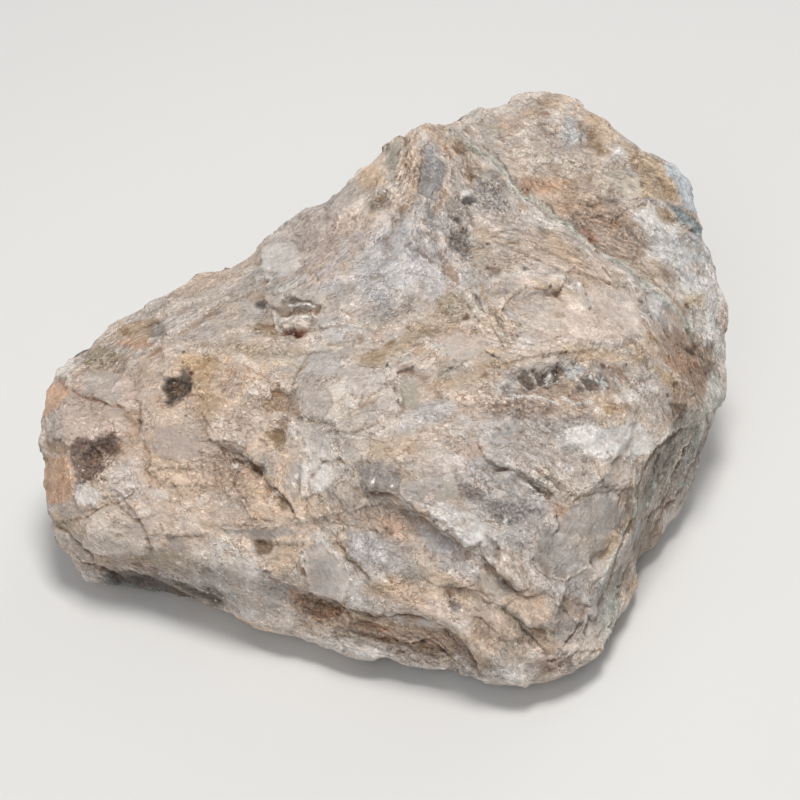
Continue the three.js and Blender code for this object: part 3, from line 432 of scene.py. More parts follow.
# Cracks: a path of pixels, the half width in pixels, the depth in millimetres, the colour and its strength.
CRACKS = [
    # the peak and the crest
    ([(404, 131), (406, 150), (400, 170), (394, 183)], 1.2, 0.6, "brown", 0.7),
    ([(408, 139), (411, 162)], 1.0, 0.5, "brown", 0.6),
    ([(422, 139), (421, 165), (417, 195), (423, 205)], 1.1, 0.5, "brown", 0.6),
    ([(440, 127), (456, 136), (466, 146), (480, 156)], 1.0, 0.3, "olive", 0.6),
    ([(466, 141), (478, 153), (490, 158)], 1.3, 0.5, "olive dark", 0.6),
    ([(480, 142), (491, 150), (500, 158), (508, 170), (512, 185)], 1.2, 0.5, "olive dark", 0.7),
    ([(383, 188), (388, 192), (392, 196)], 1.1, 0.5, "brown dark", 0.8),
    ([(545, 203), (552, 209), (557, 215)], 1.8, 0.4, "grey deep", 0.7),
    ([(490, 236), (510, 229), (526, 232), (542, 238)], 1.4, 0.5, "grey deep", 0.55),
    ([(500, 243), (525, 240), (548, 250), (570, 262), (600, 270)], 1.2, 0.5, "brown", 0.5),
    ([(523, 230), (545, 245), (575, 254)], 1.0, 0.4, "brown soft", 0.6),
    ([(570, 268), (595, 278), (612, 281), (632, 285)], 1.1, 0.4, "brown", 0.5),
    # A painted shadow beyond the crest, drawn as a shallow dark groove.
    ([(608, 258), (628, 270), (645, 285), (662, 297)], 1.5, 0.5, "grey deep", 0.5),
    ([(632, 262), (648, 276), (662, 290), (676, 302), (690, 316)], 1.2, 0.4, "olive", 0.6),
    ([(300, 214), (304, 221)], 1.6, 0.4, "grey deep", 0.6),
    ([(316, 272), (317, 278), (318, 282)], 1.3, 0.4, "olive dark", 0.65),
    ([(244, 286), (252, 284), (256, 276)], 1.6, 0.3, "olive", 0.6),
    ([(331, 224), (336, 229)], 1.0, 0.3, "brown", 0.6),
    # the right
    ([(641, 320), (648, 328), (655, 340), (661, 345)], 1.1, 0.5, "brown", 0.65),
    ([(600, 358), (608, 352), (617, 349), (635, 343)], 1.0, 0.3, "ochre", 0.7),
    ([(672, 346), (680, 344), (690, 352), (705, 358)], 1.3, 0.6, "brown dark", 0.6),
    ([(640, 352), (646, 360), (647, 372)], 1.0, 0.3, "ochre", 0.5),
    ([(584, 352), (590, 354), (596, 350), (602, 345)], 0.9, 0.2, "ochre dark", 0.6),
    ([(500, 316), (511, 300), (531, 289), (552, 291), (570, 306)], 3.5, 1.4, "cream", 0.2),
    # the needles and the ochre streak
    ([(465, 300), (472, 311), (479, 322)], 1.0, 0.4, "brown dark", 0.8),
    ([(474, 294), (482, 306), (489, 318)], 1.0, 0.4, "brown dark", 0.8),
    ([(489, 322), (498, 336), (507, 352)], 1.0, 0.4, "brown", 0.8),
    ([(498, 322), (506, 335), (514, 350)], 0.9, 0.3, "brown", 0.8),
    ([(482, 283), (482, 294), (490, 300)], 1.6, 0.3, "yellow", 0.8),
    ([(440, 320), (452, 322), (458, 321), (470, 316)], 0.9, 0.4, "brown", 0.6),
    ([(436, 376), (450, 368), (460, 366), (470, 360)], 1.2, 0.5, "grey deep", 0.6),
    ([(485, 351), (493, 355), (500, 358)], 1.3, 0.5, "brown dark", 0.8),
    ([(362, 355), (374, 350), (385, 344), (395, 340)], 1.4, 0.4, "ochre dark", 0.7),
    ([(355, 364), (368, 366), (380, 366)], 1.0, 0.4, "ochre dark", 0.6),
    ([(393, 378), (396, 392), (399, 402), (403, 410)], 1.0, 0.4, "brown dark", 0.8),
    ([(402, 388), (404, 400), (404, 410)], 1.0, 0.3, "olive", 0.7),
    # the cavity
    ([(300, 300), (318, 305), (337, 310)], 1.1, 0.6, "brown", 0.8),
    ([(341, 308), (347, 314), (352, 318)], 1.0, 0.4, "brown", 0.7),
    ([(363, 323), (370, 331)], 0.9, 0.3, "brown soft", 0.6),
    ([(376, 318), (382, 321), (390, 320)], 1.3, 0.3, "olive", 0.8),
    ([(298, 313), (309, 311), (320, 314)], 1.2, 0.4, "rust", 0.6),
    ([(325, 345), (340, 346), (355, 345)], 1.1, 0.3, "ochre", 0.7),
    ([(297, 372), (304, 366), (310, 360)], 1.0, 0.4, "ochre dark", 0.6),
    ([(388, 384), (376, 392), (362, 402)], 0.8, 0.3, "brown soft", 0.7),
    ([(290, 408), (296, 415), (303, 421)], 1.3, 0.5, "brown", 0.7),
    ([(318, 379), (330, 394), (332, 402)], 0.9, 0.3, "brown soft", 0.4),
    ([(340, 438), (350, 446), (364, 452)], 0.8, 0.3, "brown soft", 0.6),
    # the left end
    ([(68, 388), (78, 393), (90, 399), (104, 404), (127, 408)], 1.3, 0.5, "rust", 0.6),
    ([(58, 378), (62, 384), (67, 389)], 2.2, 0.7, "rust", 0.65),
    ([(133, 396), (141, 406), (142, 418), (138, 434)], 1.1, 0.5, "brown", 0.7),
    ([(141, 438), (144, 448), (150, 456), (148, 470)], 1.1, 0.5, "ochre dark", 0.75),
    ([(144, 405), (150, 412), (153, 420)], 1.0, 0.4, "brown", 0.6),
    ([(52, 440), (62, 441)], 1.3, 0.6, "brown dark", 0.8),
    ([(90, 446), (98, 454), (104, 459)], 1.3, 0.7, "black", 0.8),
    ([(72, 455), (80, 454), (92, 456)], 1.2, 0.6, "black", 0.6),
    ([(66, 521), (85, 518), (100, 508), (118, 502), (127, 498), (135, 489)], 1.3, 0.6, "ochre dark", 0.75),
    ([(80, 512), (92, 510), (100, 508)], 1.1, 0.4, "brown", 0.55),
    ([(136, 517), (144, 532), (149, 545), (152, 556)], 1.4, 0.6, "ochre dark", 0.75),
    ([(54, 526), (66, 531), (74, 541), (84, 550), (96, 560)], 1.6, 0.8, "brown dark", 0.7),
    ([(144, 467), (152, 475), (158, 479)], 1.2, 0.5, "brown", 0.8),
    ([(154, 482), (162, 485), (172, 478)], 1.0, 0.4, "brown", 0.65),
    ([(172, 482), (178, 491)], 1.0, 0.4, "brown", 0.65),
    # the gully of the left middle
    ([(206, 440), (218, 442), (228, 449), (240, 453), (246, 459)], 1.0, 0.4, "brown", 0.7),
    ([(222, 441), (236, 444), (246, 450)], 1.2, 0.5, "brown", 0.7),
    ([(246, 459), (256, 470), (264, 477)], 1.2, 0.5, "olive dark", 0.7),
    ([(262, 478), (272, 486), (282, 494), (288, 505)], 1.1, 0.4, "ochre dark", 0.7),
    ([(226, 468), (234, 478), (238, 490), (246, 502), (252, 512)], 1.2, 0.6, "brown", 0.7),
    ([(210, 480), (222, 488), (232, 500)], 1.0, 0.5, "brown", 0.6),
    ([(222, 446), (225, 456)], 1.2, 0.5, "brown dark", 0.6),
    ([(262, 496), (270, 506), (275, 519)], 1.1, 0.5, "brown", 0.7),
    ([(200, 450), (202, 465), (204, 480)], 1.1, 0.4, "brown", 0.55),
    ([(258, 440), (264, 441), (267, 446)], 1.2, 0.6, "brown dark", 0.7),
    ([(194, 381), (204, 380), (212, 379)], 0.9, 0.3, "ochre dark", 0.8),
    ([(194, 386), (204, 390), (212, 396)], 0.9, 0.3, "ochre dark", 0.8),
    ([(193, 376), (203, 373), (212, 374)], 0.9, 0.3, "ochre dark", 0.6),
    ([(196, 392), (206, 402), (210, 412)], 1.0, 0.4, "ochre dark", 0.65),
    ([(200, 410), (206, 420), (206, 432), (210, 442)], 1.5, 0.5, "brown", 0.7),
    # under the middle
    ([(205, 528), (216, 526), (224, 530), (232, 541), (240, 553), (246, 559)], 0.9, 0.4, "brown soft", 0.7),
    ([(330, 522), (345, 524), (360, 528), (380, 532)], 1.2, 0.6, "brown", 0.75),
    ([(335, 539), (342, 548), (349, 558), (358, 566), (366, 576), (373, 583)], 1.3, 0.7, "ochre dark", 0.75),
    ([(302, 566), (305, 576), (311, 587)], 1.1, 0.4, "ochre dark", 0.7),
    ([(258, 559), (260, 570)], 1.0, 0.3, "brown", 0.5),
    ([(366, 496), (384, 496), (400, 494), (410, 503), (418, 513), (428, 516), (440, 529), (456, 542),
      (470, 553)], 1.0, 0.4, "brown", 0.7),
    ([(394, 459), (402, 467), (411, 478)], 1.0, 0.4, "brown", 0.6),
    ([(443, 481), (436, 490), (431, 498)], 0.9, 0.3, "brown", 0.5),
    ([(479, 555), (492, 567), (506, 579), (521, 591), (526, 594)], 1.1, 0.5, "brown", 0.75),
    ([(477, 436), (480, 450), (484, 460), (492, 465), (500, 469), (510, 471), (519, 470)],
     1.0, 0.4, "brown", 0.6),
    ([(519, 470), (530, 482), (540, 494)], 1.1, 0.5, "brown", 0.6),
    ([(534, 467), (540, 473), (547, 477), (556, 486), (566, 493)], 1.0, 0.5, "brown", 0.7),
    ([(548, 474), (562, 484), (577, 496)], 1.1, 0.5, "brown", 0.7),
    ([(548, 456), (562, 460), (577, 467)], 0.9, 0.3, "brown soft", 0.7),
    ([(601, 478), (605, 485), (610, 488)], 1.2, 0.6, "brown dark", 0.8),
    ([(612, 487), (622, 482), (633, 478)], 0.9, 0.3, "rust", 0.5),
    ([(593, 459), (598, 470), (601, 479)], 1.2, 0.3, "ochre", 0.7),
    ([(450, 586), (462, 589), (476, 583)], 1.2, 0.5, "brown dark", 0.6),
    ([(447, 592), (452, 598)], 1.6, 0.4, "brown dark", 0.7),
    ([(532, 562), (541, 571), (549, 578)], 1.0, 0.4, "brown", 0.6),
    ([(480, 586), (488, 596), (492, 604)], 1.0, 0.3, "brown", 0.5),
    # the lower right
    ([(441, 628), (456, 642), (468, 654), (478, 670)], 1.3, 0.7, "brown dark", 0.7),
    ([(500, 606), (514, 618), (524, 630), (540, 644), (549, 658)], 1.6, 0.9, "olive dark", 0.75),
    ([(508, 609), (520, 621), (530, 627), (548, 628), (556, 638)], 1.3, 0.7, "olive", 0.75),
    ([(479, 616), (490, 627), (500, 636), (512, 637)], 1.0, 0.4, "brown soft", 0.8),
    ([(520, 636), (536, 648), (547, 657)], 1.0, 0.4, "rust", 0.55),
    ([(560, 648), (572, 636), (584, 622)], 1.4, 0.6, "brown", 0.6),
    ([(546, 661), (556, 660)], 1.4, 0.5, "black", 0.6),
    ([(562, 598), (580, 604), (592, 608)], 1.2, 0.5, "brown", 0.6),
    # the right wall
    ([(700, 424), (684, 430), (668, 438), (655, 452), (645, 466), (639, 488), (636, 512), (624, 540),
      (616, 562), (610, 580), (604, 596)], 1.4, 0.8, "brown", 0.75),
    ([(690, 440), (676, 470), (664, 500), (650, 520)], 1.6, 0.9, "brown dark", 0.75),
    ([(680, 440), (664, 462), (656, 486)], 1.4, 0.7, "brown dark", 0.65),
    ([(704, 436), (694, 462), (682, 488), (668, 508)], 1.4, 0.8, "brown", 0.7),
    ([(660, 505), (650, 516), (642, 522)], 1.2, 0.6, "brown", 0.6),
    ([(632, 560), (624, 575), (616, 590)], 1.3, 0.6, "brown dark", 0.65),
    ([(706, 410), (710, 426), (704, 446), (696, 466)], 2.0, 0.9, "brown dark", 0.7),
    ([(684, 428), (674, 436), (666, 446)], 2.4, 0.9, "brown dark", 0.7),
    ([(660, 452), (656, 466), (654, 474)], 2.2, 0.8, "brown dark", 0.6),
    ([(672, 500), (660, 516), (652, 526)], 1.8, 0.8, "brown dark", 0.7),
    # the layered side
    ([(310, 600), (325, 600), (342, 607), (360, 613), (375, 619), (388, 617), (402, 616), (420, 618),
      (440, 623)], 1.5, 0.8, "brown dark", 0.8),
    ([(356, 630), (370, 637), (390, 641), (410, 643), (428, 640), (440, 647), (450, 658)],
     1.6, 0.8, "brown", 0.85),
    ([(300, 602), (312, 612), (330, 616), (342, 614)], 1.3, 0.6, "rust", 0.6),
    ([(336, 632), (340, 640)], 1.1, 0.4, "brown", 0.7),
    ([(400, 652), (416, 650), (430, 655)], 1.2, 0.5, "brown", 0.6),
    ([(408, 657), (420, 662), (440, 667)], 1.1, 0.4, "brown", 0.6),
    ([(420, 626), (432, 634), (446, 648), (458, 664)], 1.2, 0.5, "brown", 0.65),
    # the rear block
    ([(516, 134), (505, 137), (496, 140)], 0.9, 0.3, "rust", 0.5),
    ([(596, 196), (600, 199), (612, 203), (622, 200)], 1.6, 0.4, "black", 0.5),
    ([(575, 214), (590, 218), (606, 214), (622, 218)], 1.5, 0.5, "brown dark", 0.5),
    ([(575, 203), (590, 206), (604, 204)], 1.4, 0.4, "brown dark", 0.45),
    ([(588, 236), (598, 250), (612, 256), (626, 258)], 1.5, 0.5, "rust", 0.6),
    ([(630, 232), (645, 246), (655, 252)], 1.3, 0.4, "brown dark", 0.5),
    ([(640, 262), (650, 272), (655, 278)], 1.3, 0.4, "brown", 0.6),
]

# Ribs, needles and crests: a path of pixels, the half width in pixels, the height in millimetres, the colour
# and its strength.
RIBS = [
    ([(440, 127), (455, 134), (470, 146), (484, 155), (497, 163), (506, 174), (512, 187), (522, 197),
      (535, 202), (550, 212), (564, 224), (580, 238), (600, 252), (620, 264), (645, 284), (664, 299),
      (682, 317), (695, 338), (715, 352)], 3.0, 0.6, "green pale", 0.7),
    ([(411, 132), (414, 160), (411, 190), (408, 215)], 2.2, 0.6, "cream warm", 0.6),
    ([(402, 150), (398, 180)], 1.5, 0.5, "cream warm", 0.6),
    ([(286, 306), (300, 304), (316, 306)], 1.3, 0.6, "glint", 0.8),
    ([(276, 318), (300, 317), (318, 318)], 1.7, 0.5, "pale", 0.85),
    ([(271, 309), (275, 320), (278, 336)], 1.5, 0.9, "pale", 0.9),
    ([(470, 296), (477, 307), (484, 318)], 1.7, 0.6, "pale", 0.7),
    ([(481, 294), (488, 304), (493, 312)], 1.6, 0.4, "olive", 0.6),
    ([(494, 321), (502, 335), (510, 349)], 1.6, 0.6, "pale warm", 0.6),
    ([(512, 328), (520, 344)], 1.6, 0.4, "cream warm", 0.6),
    ([(663, 362), (676, 376), (690, 391), (698, 402)], 1.4, 0.8, "pale", 0.7),
    ([(342, 546), (348, 553), (352, 561)], 1.4, 0.5, "olive", 0.7),
    ([(230, 452), (238, 462), (242, 472)], 1.8, 0.8, "cream", 0.6),
    ([(250, 464), (258, 460), (264, 462)], 1.6, 0.8, "pale warm", 0.7),
    ([(258, 484), (266, 478), (274, 478)], 1.7, 0.9, "cream warm", 0.7),
    ([(268, 499), (276, 492), (284, 492)], 1.6, 0.8, "pale", 0.6),
    ([(236, 446), (244, 440), (252, 440)], 1.6, 0.6, "white", 0.6),
    # the layers of the low side
    ([(345, 612), (380, 622), (420, 630), (446, 646)], 1.3, 0.6, "ochre pale", 0.7),
    ([(318, 616), (350, 627), (392, 634), (430, 646)], 1.3, 0.6, "cream warm", 0.7),
    ([(330, 628), (370, 640), (420, 652), (456, 668)], 1.4, 0.6, "pale warm", 0.6),
    ([(290, 606), (306, 616), (330, 622)], 1.3, 0.5, "orange", 0.6),
    ([(160, 573), (190, 583), (220, 598), (250, 612)], 1.5, 0.5, "cream", 0.5),
    ([(205, 527), (222, 528), (240, 530), (270, 526), (300, 521), (330, 513), (380, 504)],
     1.5, 0.35, "pale warm", 0.6),
    ([(262, 280), (275, 277), (295, 274)], 1.0, 0.4, "white", 0.7),
    ([(641, 468), (636, 500), (632, 520)], 2.2, 0.9, "green pale", 0.6),
    ([(654, 480), (652, 495), (648, 508)], 3.0, 0.6, "green pale", 0.7),
    ([(640, 518), (634, 534), (626, 548)], 2.5, 0.6, "blue white", 0.6),
    ([(700, 404), (700, 414), (697, 426)], 2.4, 0.8, "pale", 0.8),
    ([(694, 432), (686, 444), (680, 454)], 2.6, 0.8, "pale warm", 0.85),
    ([(682, 462), (674, 478), (666, 494)], 2.6, 0.8, "pale warm", 0.85),
    ([(672, 456), (666, 470), (660, 480)], 1.4, 0.5, "pale", 0.7),
    ([(664, 508), (656, 520), (648, 532)], 2.2, 0.6, "cream warm", 0.7),
    ([(690, 424), (668, 434), (652, 450), (640, 466)], 2.0, 0.6, "pale", 0.6),
    ([(628, 520), (618, 544), (606, 570), (598, 592)], 2.0, 0.6, "green pale", 0.6),
    ([(430, 514), (442, 525), (456, 538), (470, 548)], 1.2, 0.4, "white", 0.7),
    ([(436, 512), (450, 524), (464, 538)], 1.0, 0.4, "glint", 0.4),
    ([(503, 456), (512, 466), (524, 476)], 1.2, 0.4, "white", 0.6),
    ([(522, 473), (532, 484), (540, 492)], 1.6, 0.3, "white", 0.6),
    ([(418, 284), (415, 297)], 0.9, 0.2, "glint", 0.6),
    ([(516, 364), (530, 372), (538, 386)], 1.4, 0.6, "pale", 0.8),
    ([(528, 393), (544, 384), (562, 382)], 1.4, 0.6, "pale", 0.8),
    ([(546, 362), (550, 374), (545, 388)], 1.2, 0.6, "glint", 0.8),
    ([(570, 364), (577, 380), (592, 394)], 1.4, 0.6, "pale", 0.8),
    ([(584, 373), (598, 382), (613, 386)], 1.2, 0.5, "glint", 0.7),
    ([(498, 385), (515, 380), (532, 391)], 1.3, 0.5, "white", 0.8),
    ([(503, 401), (520, 396), (540, 398), (562, 405)], 1.4, 0.5, "white", 0.8),
    ([(558, 396), (575, 404), (594, 402)], 1.4, 0.5, "white", 0.8),
    ([(616, 376), (622, 392), (636, 401)], 1.3, 0.5, "white", 0.7),
    ([(545, 527), (570, 525), (590, 527)], 1.2, 0.2, "lens", 0.7),
    ([(229, 336), (234, 326)], 1.6, 0.4, "white", 0.6),
    ([(488, 432), (492, 440)], 1.4, 0.4, "glint", 0.6),
]

# Small spots: the middle, the radius in pixels and the colour.
SPOTS = [
    (184, 352, 1.6, "black"), (183, 364, 1.4, "black"), (188, 368, 1.5, "brown dark"),
    (191, 372, 2.6, "rust dark"), (186, 416, 1.4, "black"), (204, 356, 1.5, "rust dark"),
    (208, 356, 1.6, "black"), (228, 359, 1.9, "yellow"), (279, 386, 2.2, "brown dark"),
    (285, 297, 1.4, "grey deep"), (488, 244, 1.6, "black"), (489, 268, 2.0, "black"),
    (524, 269, 2.2, "brown dark"), (301, 552, 1.8, "black"), (304, 560, 1.6, "black"),
    (626, 366, 2.0, "black"), (603, 366, 2.8, "rust dark"), (609, 367, 1.6, "rust"),
    (675, 384, 2.8, "brown dark"), (668, 395, 2.0, "brown dark"), (586, 294, 1.3, "brown dark"),
    (589, 309, 1.5, "brown dark"), (606, 453, 1.2, "brown dark"), (612, 452, 1.2, "brown dark"),
    (550, 285, 2.0, "black"), (493, 355, 1.8, "black"), (451, 368, 1.8, "grey deep"),
    (387, 365, 2.0, "black"), (255, 519, 1.5, "brown dark"), (274, 511, 1.3, "brown dark"),
    (321, 496, 2.0, "olive"), (518, 336, 1.3, "brown dark"), (446, 149, 1.6, "rust"),
    (506, 521, 2.0, "glint"), (430, 289, 1.6, "glint"), (428, 259, 1.5, "glint"), (297, 476, 1.6, "glint"),
    (294, 484, 1.4, "glint"), (373, 480, 1.7, "glint"), (391, 486, 1.5, "glint"), (649, 505, 2.2, "glint"),
    (683, 484, 2.6, "green pale"), (268, 578, 1.0, "rust"),
]

# Grainy zones: the middle, the half sizes along and across in pixels, the slant in degrees and the strength.
GRAINY = [
    (178, 388, 17, 14, -25, 1.0), (95, 462, 28, 30, 0, 1.0), (264, 350, 40, 9, 4, 0.7),
    (262, 330, 14, 8, 0, 0.9), (228, 388, 14, 10, 0, 0.7), (545, 378, 28, 13, -8, 0.9),
    (515, 405, 40, 16, 0, 0.7), (600, 385, 32, 12, 0, 0.6), (488, 195, 22, 28, 0, 0.9),
    (462, 245, 14, 22, -20, 0.9), (505, 262, 28, 12, 0, 0.8), (455, 308, 18, 14, 0, 0.6),
    (690, 365, 30, 34, 0, 0.4), (605, 230, 46, 30, 30, 0.4), (640, 270, 26, 10, 40, 0.4),
    (100, 360, 20, 12, 0, 0.7), (95, 535, 14, 14, 0, 0.4), (375, 480, 22, 15, 0, 0.5),
    (510, 512, 32, 12, 0, 0.8), (560, 150, 60, 30, 20, 0.3), (670, 470, 24, 64, 25, 0.5),
    (240, 480, 30, 30, 40, 0.6), (150, 425, 12, 14, 0, 0.6), (380, 200, 18, 12, 0, 0.8),
    (280, 402, 16, 12, 0, 0.7), (390, 315, 34, 14, 0, 0.5), (455, 603, 12, 9, 0, 0.7),
    (585, 585, 22, 8, 0, 0.6), (560, 660, 24, 10, 0, 0.6), (540, 490, 16, 16, 30, 0.8),
    (430, 640, 50, 20, 10, 0.4), (560, 425, 50, 12, 0, 0.6),
]

# Fibrous zones, in the same form.
FIBROUS = [
    (600, 228, 52, 30, 25, 1.0), (545, 184, 40, 14, 10, 0.7), (690, 368, 26, 36, 10, 1.0),
    (300, 316, 34, 16, 3, 0.9), (350, 512, 60, 14, -10, 0.5), (395, 525, 40, 20, 15, 0.6),
    (555, 380, 66, 18, -5, 0.6), (560, 408, 60, 14, -4, 0.6), (370, 634, 90, 22, 10, 0.9),
    (440, 650, 30, 24, 40, 0.7), (150, 580, 90, 16, 12, 0.6), (500, 330, 26, 34, 55, 0.8),
    (540, 250, 70, 16, 25, 0.6), (420, 345, 60, 12, -25, 0.6), (405, 165, 16, 36, 0, 0.7),
    (670, 470, 24, 64, 25, 0.6), (520, 235, 60, 14, 28, 0.5), (640, 275, 40, 14, 40, 0.5),
    (230, 355, 60, 12, 0, 0.4), (560, 488, 40, 16, 38, 0.5), (450, 520, 40, 16, 40, 0.4),
    (530, 625, 40, 20, 40, 0.5), (645, 170, 34, 30, 30, 0.8), (130, 340, 44, 16, -15, 0.8),
]

# The directions in which the stone splits: places in pixels, and degrees clockwise from the right.
GRAIN = [
    (100, 440, 15), (90, 350, -25), (130, 530, 30), (180, 330, -25), (230, 290, -28), (300, 240, -30),
    (370, 260, -40), (380, 180, -55), (412, 160, 88), (440, 190, 70), (480, 200, 40), (480, 245, 40),
    (540, 240, 30), (600, 275, 22), (300, 315, 3), (250, 350, 5), (200, 400, 15), (220, 450, 40),
    (270, 490, 55), (230, 525, -4), (200, 560, 8), (150, 575, 15), (320, 390, -25), (340, 470, 60),
    (430, 340, -25), (410, 430, 5), (440, 520, 40), (480, 560, 42), (400, 560, 20), (330, 570, 50),
    (510, 490, 38), (560, 470, 30), (600, 440, 10), (570, 540, -8), (530, 400, -8), (600, 385, -5),
    (500, 340, 50), (560, 320, 10), (640, 340, 35), (690, 370, 15), (680, 470, 118), (640, 540, 115),
    (520, 640, 40), (590, 620, -40), (400, 640, 10), (330, 630, 8), (560, 140, 15), (500, 110, -12),
    (620, 170, 30), (600, 230, 10), (660, 230, 40), (700, 280, 70), (715, 380, 95),
]

# Ledges: a path of pixels with the lower ground at the left as it is followed, and the drop in millimetres.
LEDGES = [
    ([(469, 551), (441, 533), (420, 516), (394, 494), (367, 492), (362, 478)], 0.45),
    ([(521, 591), (500, 575), (480, 556)], 0.45),
    ([(556, 497), (540, 484), (519, 470), (500, 468), (487, 457)], 0.4),
    ([(577, 497), (545, 473), (529, 463)], 0.4),
    ([(551, 647), (545, 631), (529, 627), (519, 620), (500, 609)], 0.6),
    ([(593, 567), (567, 580), (548, 577), (532, 561)], 0.3),
    ([(640, 487), (610, 490), (580, 495), (567, 505)], 0.3),
    ([(481, 676), (473, 655), (463, 639), (449, 628), (433, 620), (420, 615), (385, 611), (375, 616),
      (356, 615), (340, 608), (313, 600), (303, 593), (287, 581)], 0.8),
    ([(468, 671), (457, 660), (444, 649), (431, 640), (415, 641), (400, 644)], 0.6),
    ([(217, 608), (180, 591), (159, 580), (132, 571), (116, 572), (100, 567), (84, 561), (65, 545)], 0.7),
    ([(640, 292), (600, 276), (560, 268), (520, 250), (480, 232)], 0.3),
    ([(640, 356), (600, 348), (560, 352), (520, 358), (490, 368)], 0.2),
    ([(380, 330), (340, 326), (300, 330), (262, 322)], 0.3),
    ([(342, 348), (310, 352), (296, 372), (292, 392)], 0.3),
    ([(380, 420), (352, 432), (320, 430)], 0.3),
    ([(345, 455), (322, 462), (308, 480), (312, 500)], 0.3),
    ([(500, 596), (470, 588), (440, 586), (420, 576)], 0.3),
    ([(520, 560), (500, 548), (484, 530)], 0.3),
    ([(640, 664), (600, 650), (575, 650), (555, 668)], 0.3),
    ([(590, 640), (570, 612), (552, 600)], 0.3),
    ([(196, 470), (170, 466), (152, 470)], 0.3),
    ([(470, 222), (452, 236), (440, 262)], 0.3),
    ([(700, 420), (682, 452), (668, 492), (654, 530)], 0.5),
    ([(712, 440), (694, 478), (676, 510)], 0.3),
]

# The broken scales of the loose relief: their size and their height in millimetres. Then how much longer they
# are along the grain, and the turn from one direction of theirs to the next in degrees. Then their tilt, the
# step at their lower side and the difference of their levels, as shares of their height. Last, how strong the
# scales are on the hidden sides, and how much weaker on the shown side.
SCALES = [(14, 0.8), (6.5, 0.7), (3.2, 0.22)]
SCALE_STRETCH = 2.3
SCALE_TURN = 30
SCALE_TILT = 1.5
SCALE_STEP = 0.55
SCALE_LEVELS = 0.35
SCALES_HIDDEN = 1.3
SCALES_LOSS = 0.6

# How many pixels a direction of the grain reaches, by how many degrees it wavers, and how many pixels every
# form wavers. Then the height of the loose swells in millimetres.
GRAIN_REACH = 40
GRAIN_WAVER = 40
WAVER = 2.0
LOOSE_SWELL = 0.25

# Where a patch, a zone and a spot begin to fade and where they end, as shares of their half size. Then how
# ragged the first two are, and the strength of the spots.
PATCH_EDGE = (0.45, 1.3)
ZONE_EDGE = (0.5, 1.2)
SPOT_EDGE = (0.6, 1.3)
PATCH_RAG = 0.5
SPOT_STRENGTH = 0.9

# Facets, in pixels: how far one can reach past its outline, the soft edge and the raggedness of a smooth one,
# how much more of both a loose one has, and the run for which the slopes are given. Then the direction of the
# rags in degrees, and the brown on the edges: its strength, and between which values of the sideways waver it
# sets in.
FACET_REACH = 8
FACET_EDGE = 1.1
FACET_RAG = 2
LOOSE_EDGE = 2
LOOSE_RAG = 4
SLOPE_RUN = 10
RAG_WAY = 12
EDGE_BROWN = 0.15
EDGE_BREAKS = (-0.1, 0.3)

# Ledges: how far the low ground and the lip reach in pixels, the lip's height as a share of the drop, between
# which pixels to the left of the path the low ground sets in, the same to the right for the lip, and the
# share of the path over which a ledge tapers off. Then the colours beside it, a painted shadow on the low
# ground and a painted highlight on the lip: the colour, its strength, how far left of the path it lies and
# its half width in pixels.
LEDGE_REACH = 4
LIP_REACH = 6
LIP_HEIGHT = 0.3
LEDGE_STEP = (-1, 1.6)
LIP_STEP = (-1.6, 1)
LEDGE_TAPER = 0.12
LEDGE_SHADOW_AND_HIGHLIGHT = [("brown dark", 0.5, 1, 1.1), ("pale warm", 0.3, -2, 2)]

# Cracks and ribs: their width and its change as shares of the half width, the share of the path over which
# they taper off, and the share of the given height that they have. Then how many reaches or half widths away
# from its path a ledge, crack or rib has faded out.
LINE_WIDTH = 0.85
LINE_CHANGE = 0.7
LINE_TAPER = 0.1
LINE_HEIGHT = 0.5
FADED = 4

# Noises: how far apart their largest swells are in millimetres, their octaves and their seed
NOISES = {
    "aside": (2.6, 2, 71),
    "below": (2.6, 2, 72),
    "turn": (14, 2, 5),
    "loose": (8, 3, 9),
    "broad": (26, 3, 3),
    "fine": (4, 2, 15),
    "stain": (34, 4, 41),
    "orange": (21, 3, 44),
    "patch edge": (5, 3, 61),
    "facet edge": (3.2, 3, 81),
}

# What the clouds of colour follow: the number of a size of scales, how much the faces of those scales count,
# and how much the noise of the same name counts.
CLOUD_FORMS = {"broad": (0, 1, 1.4), "fine": (1, 1, 0.6), "stain": (1, 0.3, 1), "orange": (0, 0, 1)}

# Clouds of colour: what each follows, whether it lies where that is high or low, the values between which it
# sets in, the colour, its strength and how much stronger it is on the hidden sides.
CLOUDS = [
    ("broad", 1, 0.1, 0.6, "lens", 0.8, 0),
    ("broad", -1, 0.1, 0.5, "cream warm", 0.65, 0),
    ("fine", 1, 0.2, 0.6, "white", 0.5, 0),
    ("fine", -1, 0.3, 0.6, "grey", 0.35, 0),
    ("stain", 1, 0.15, 0.45, "ochre pale", 0.25, 0.4),
    ("stain", 1, 0.35, 0.65, "ochre", 0, 0.5),
    ("stain", -1, 0.2, 0.5, "white", 0, 0.6),
    ("orange", 1, 0.3, 0.55, "orange", 0, 0.4),
    ("orange", -1, 0.35, 0.6, "brown soft", 0, 0.22),
    # The hidden sides grow darker towards the floor, in the right wall's shaded colour.
    ("height", -1, -16, 0, "wall", 0, 0.25),
]

# Grain and fibres on the hidden sides: their strength, and the values of the clouds between which they set in
HIDDEN_GRAIN = 0.5
HIDDEN_GRAIN_FROM = (0.25, 0.5)
HIDDEN_FIBRES = 0.6
HIDDEN_FIBRES_FROM = (0.0, 0.4)

# The numbers that mix a cell's place and a seed into one scattered number, the largest such number, and what
# brings the swells to about 1
MIXERS = (374761393, 668265263, 1274126177, 362437)
MIX_LIMIT = 0xFFFFFFFF
SWELL_GAIN = 2.6
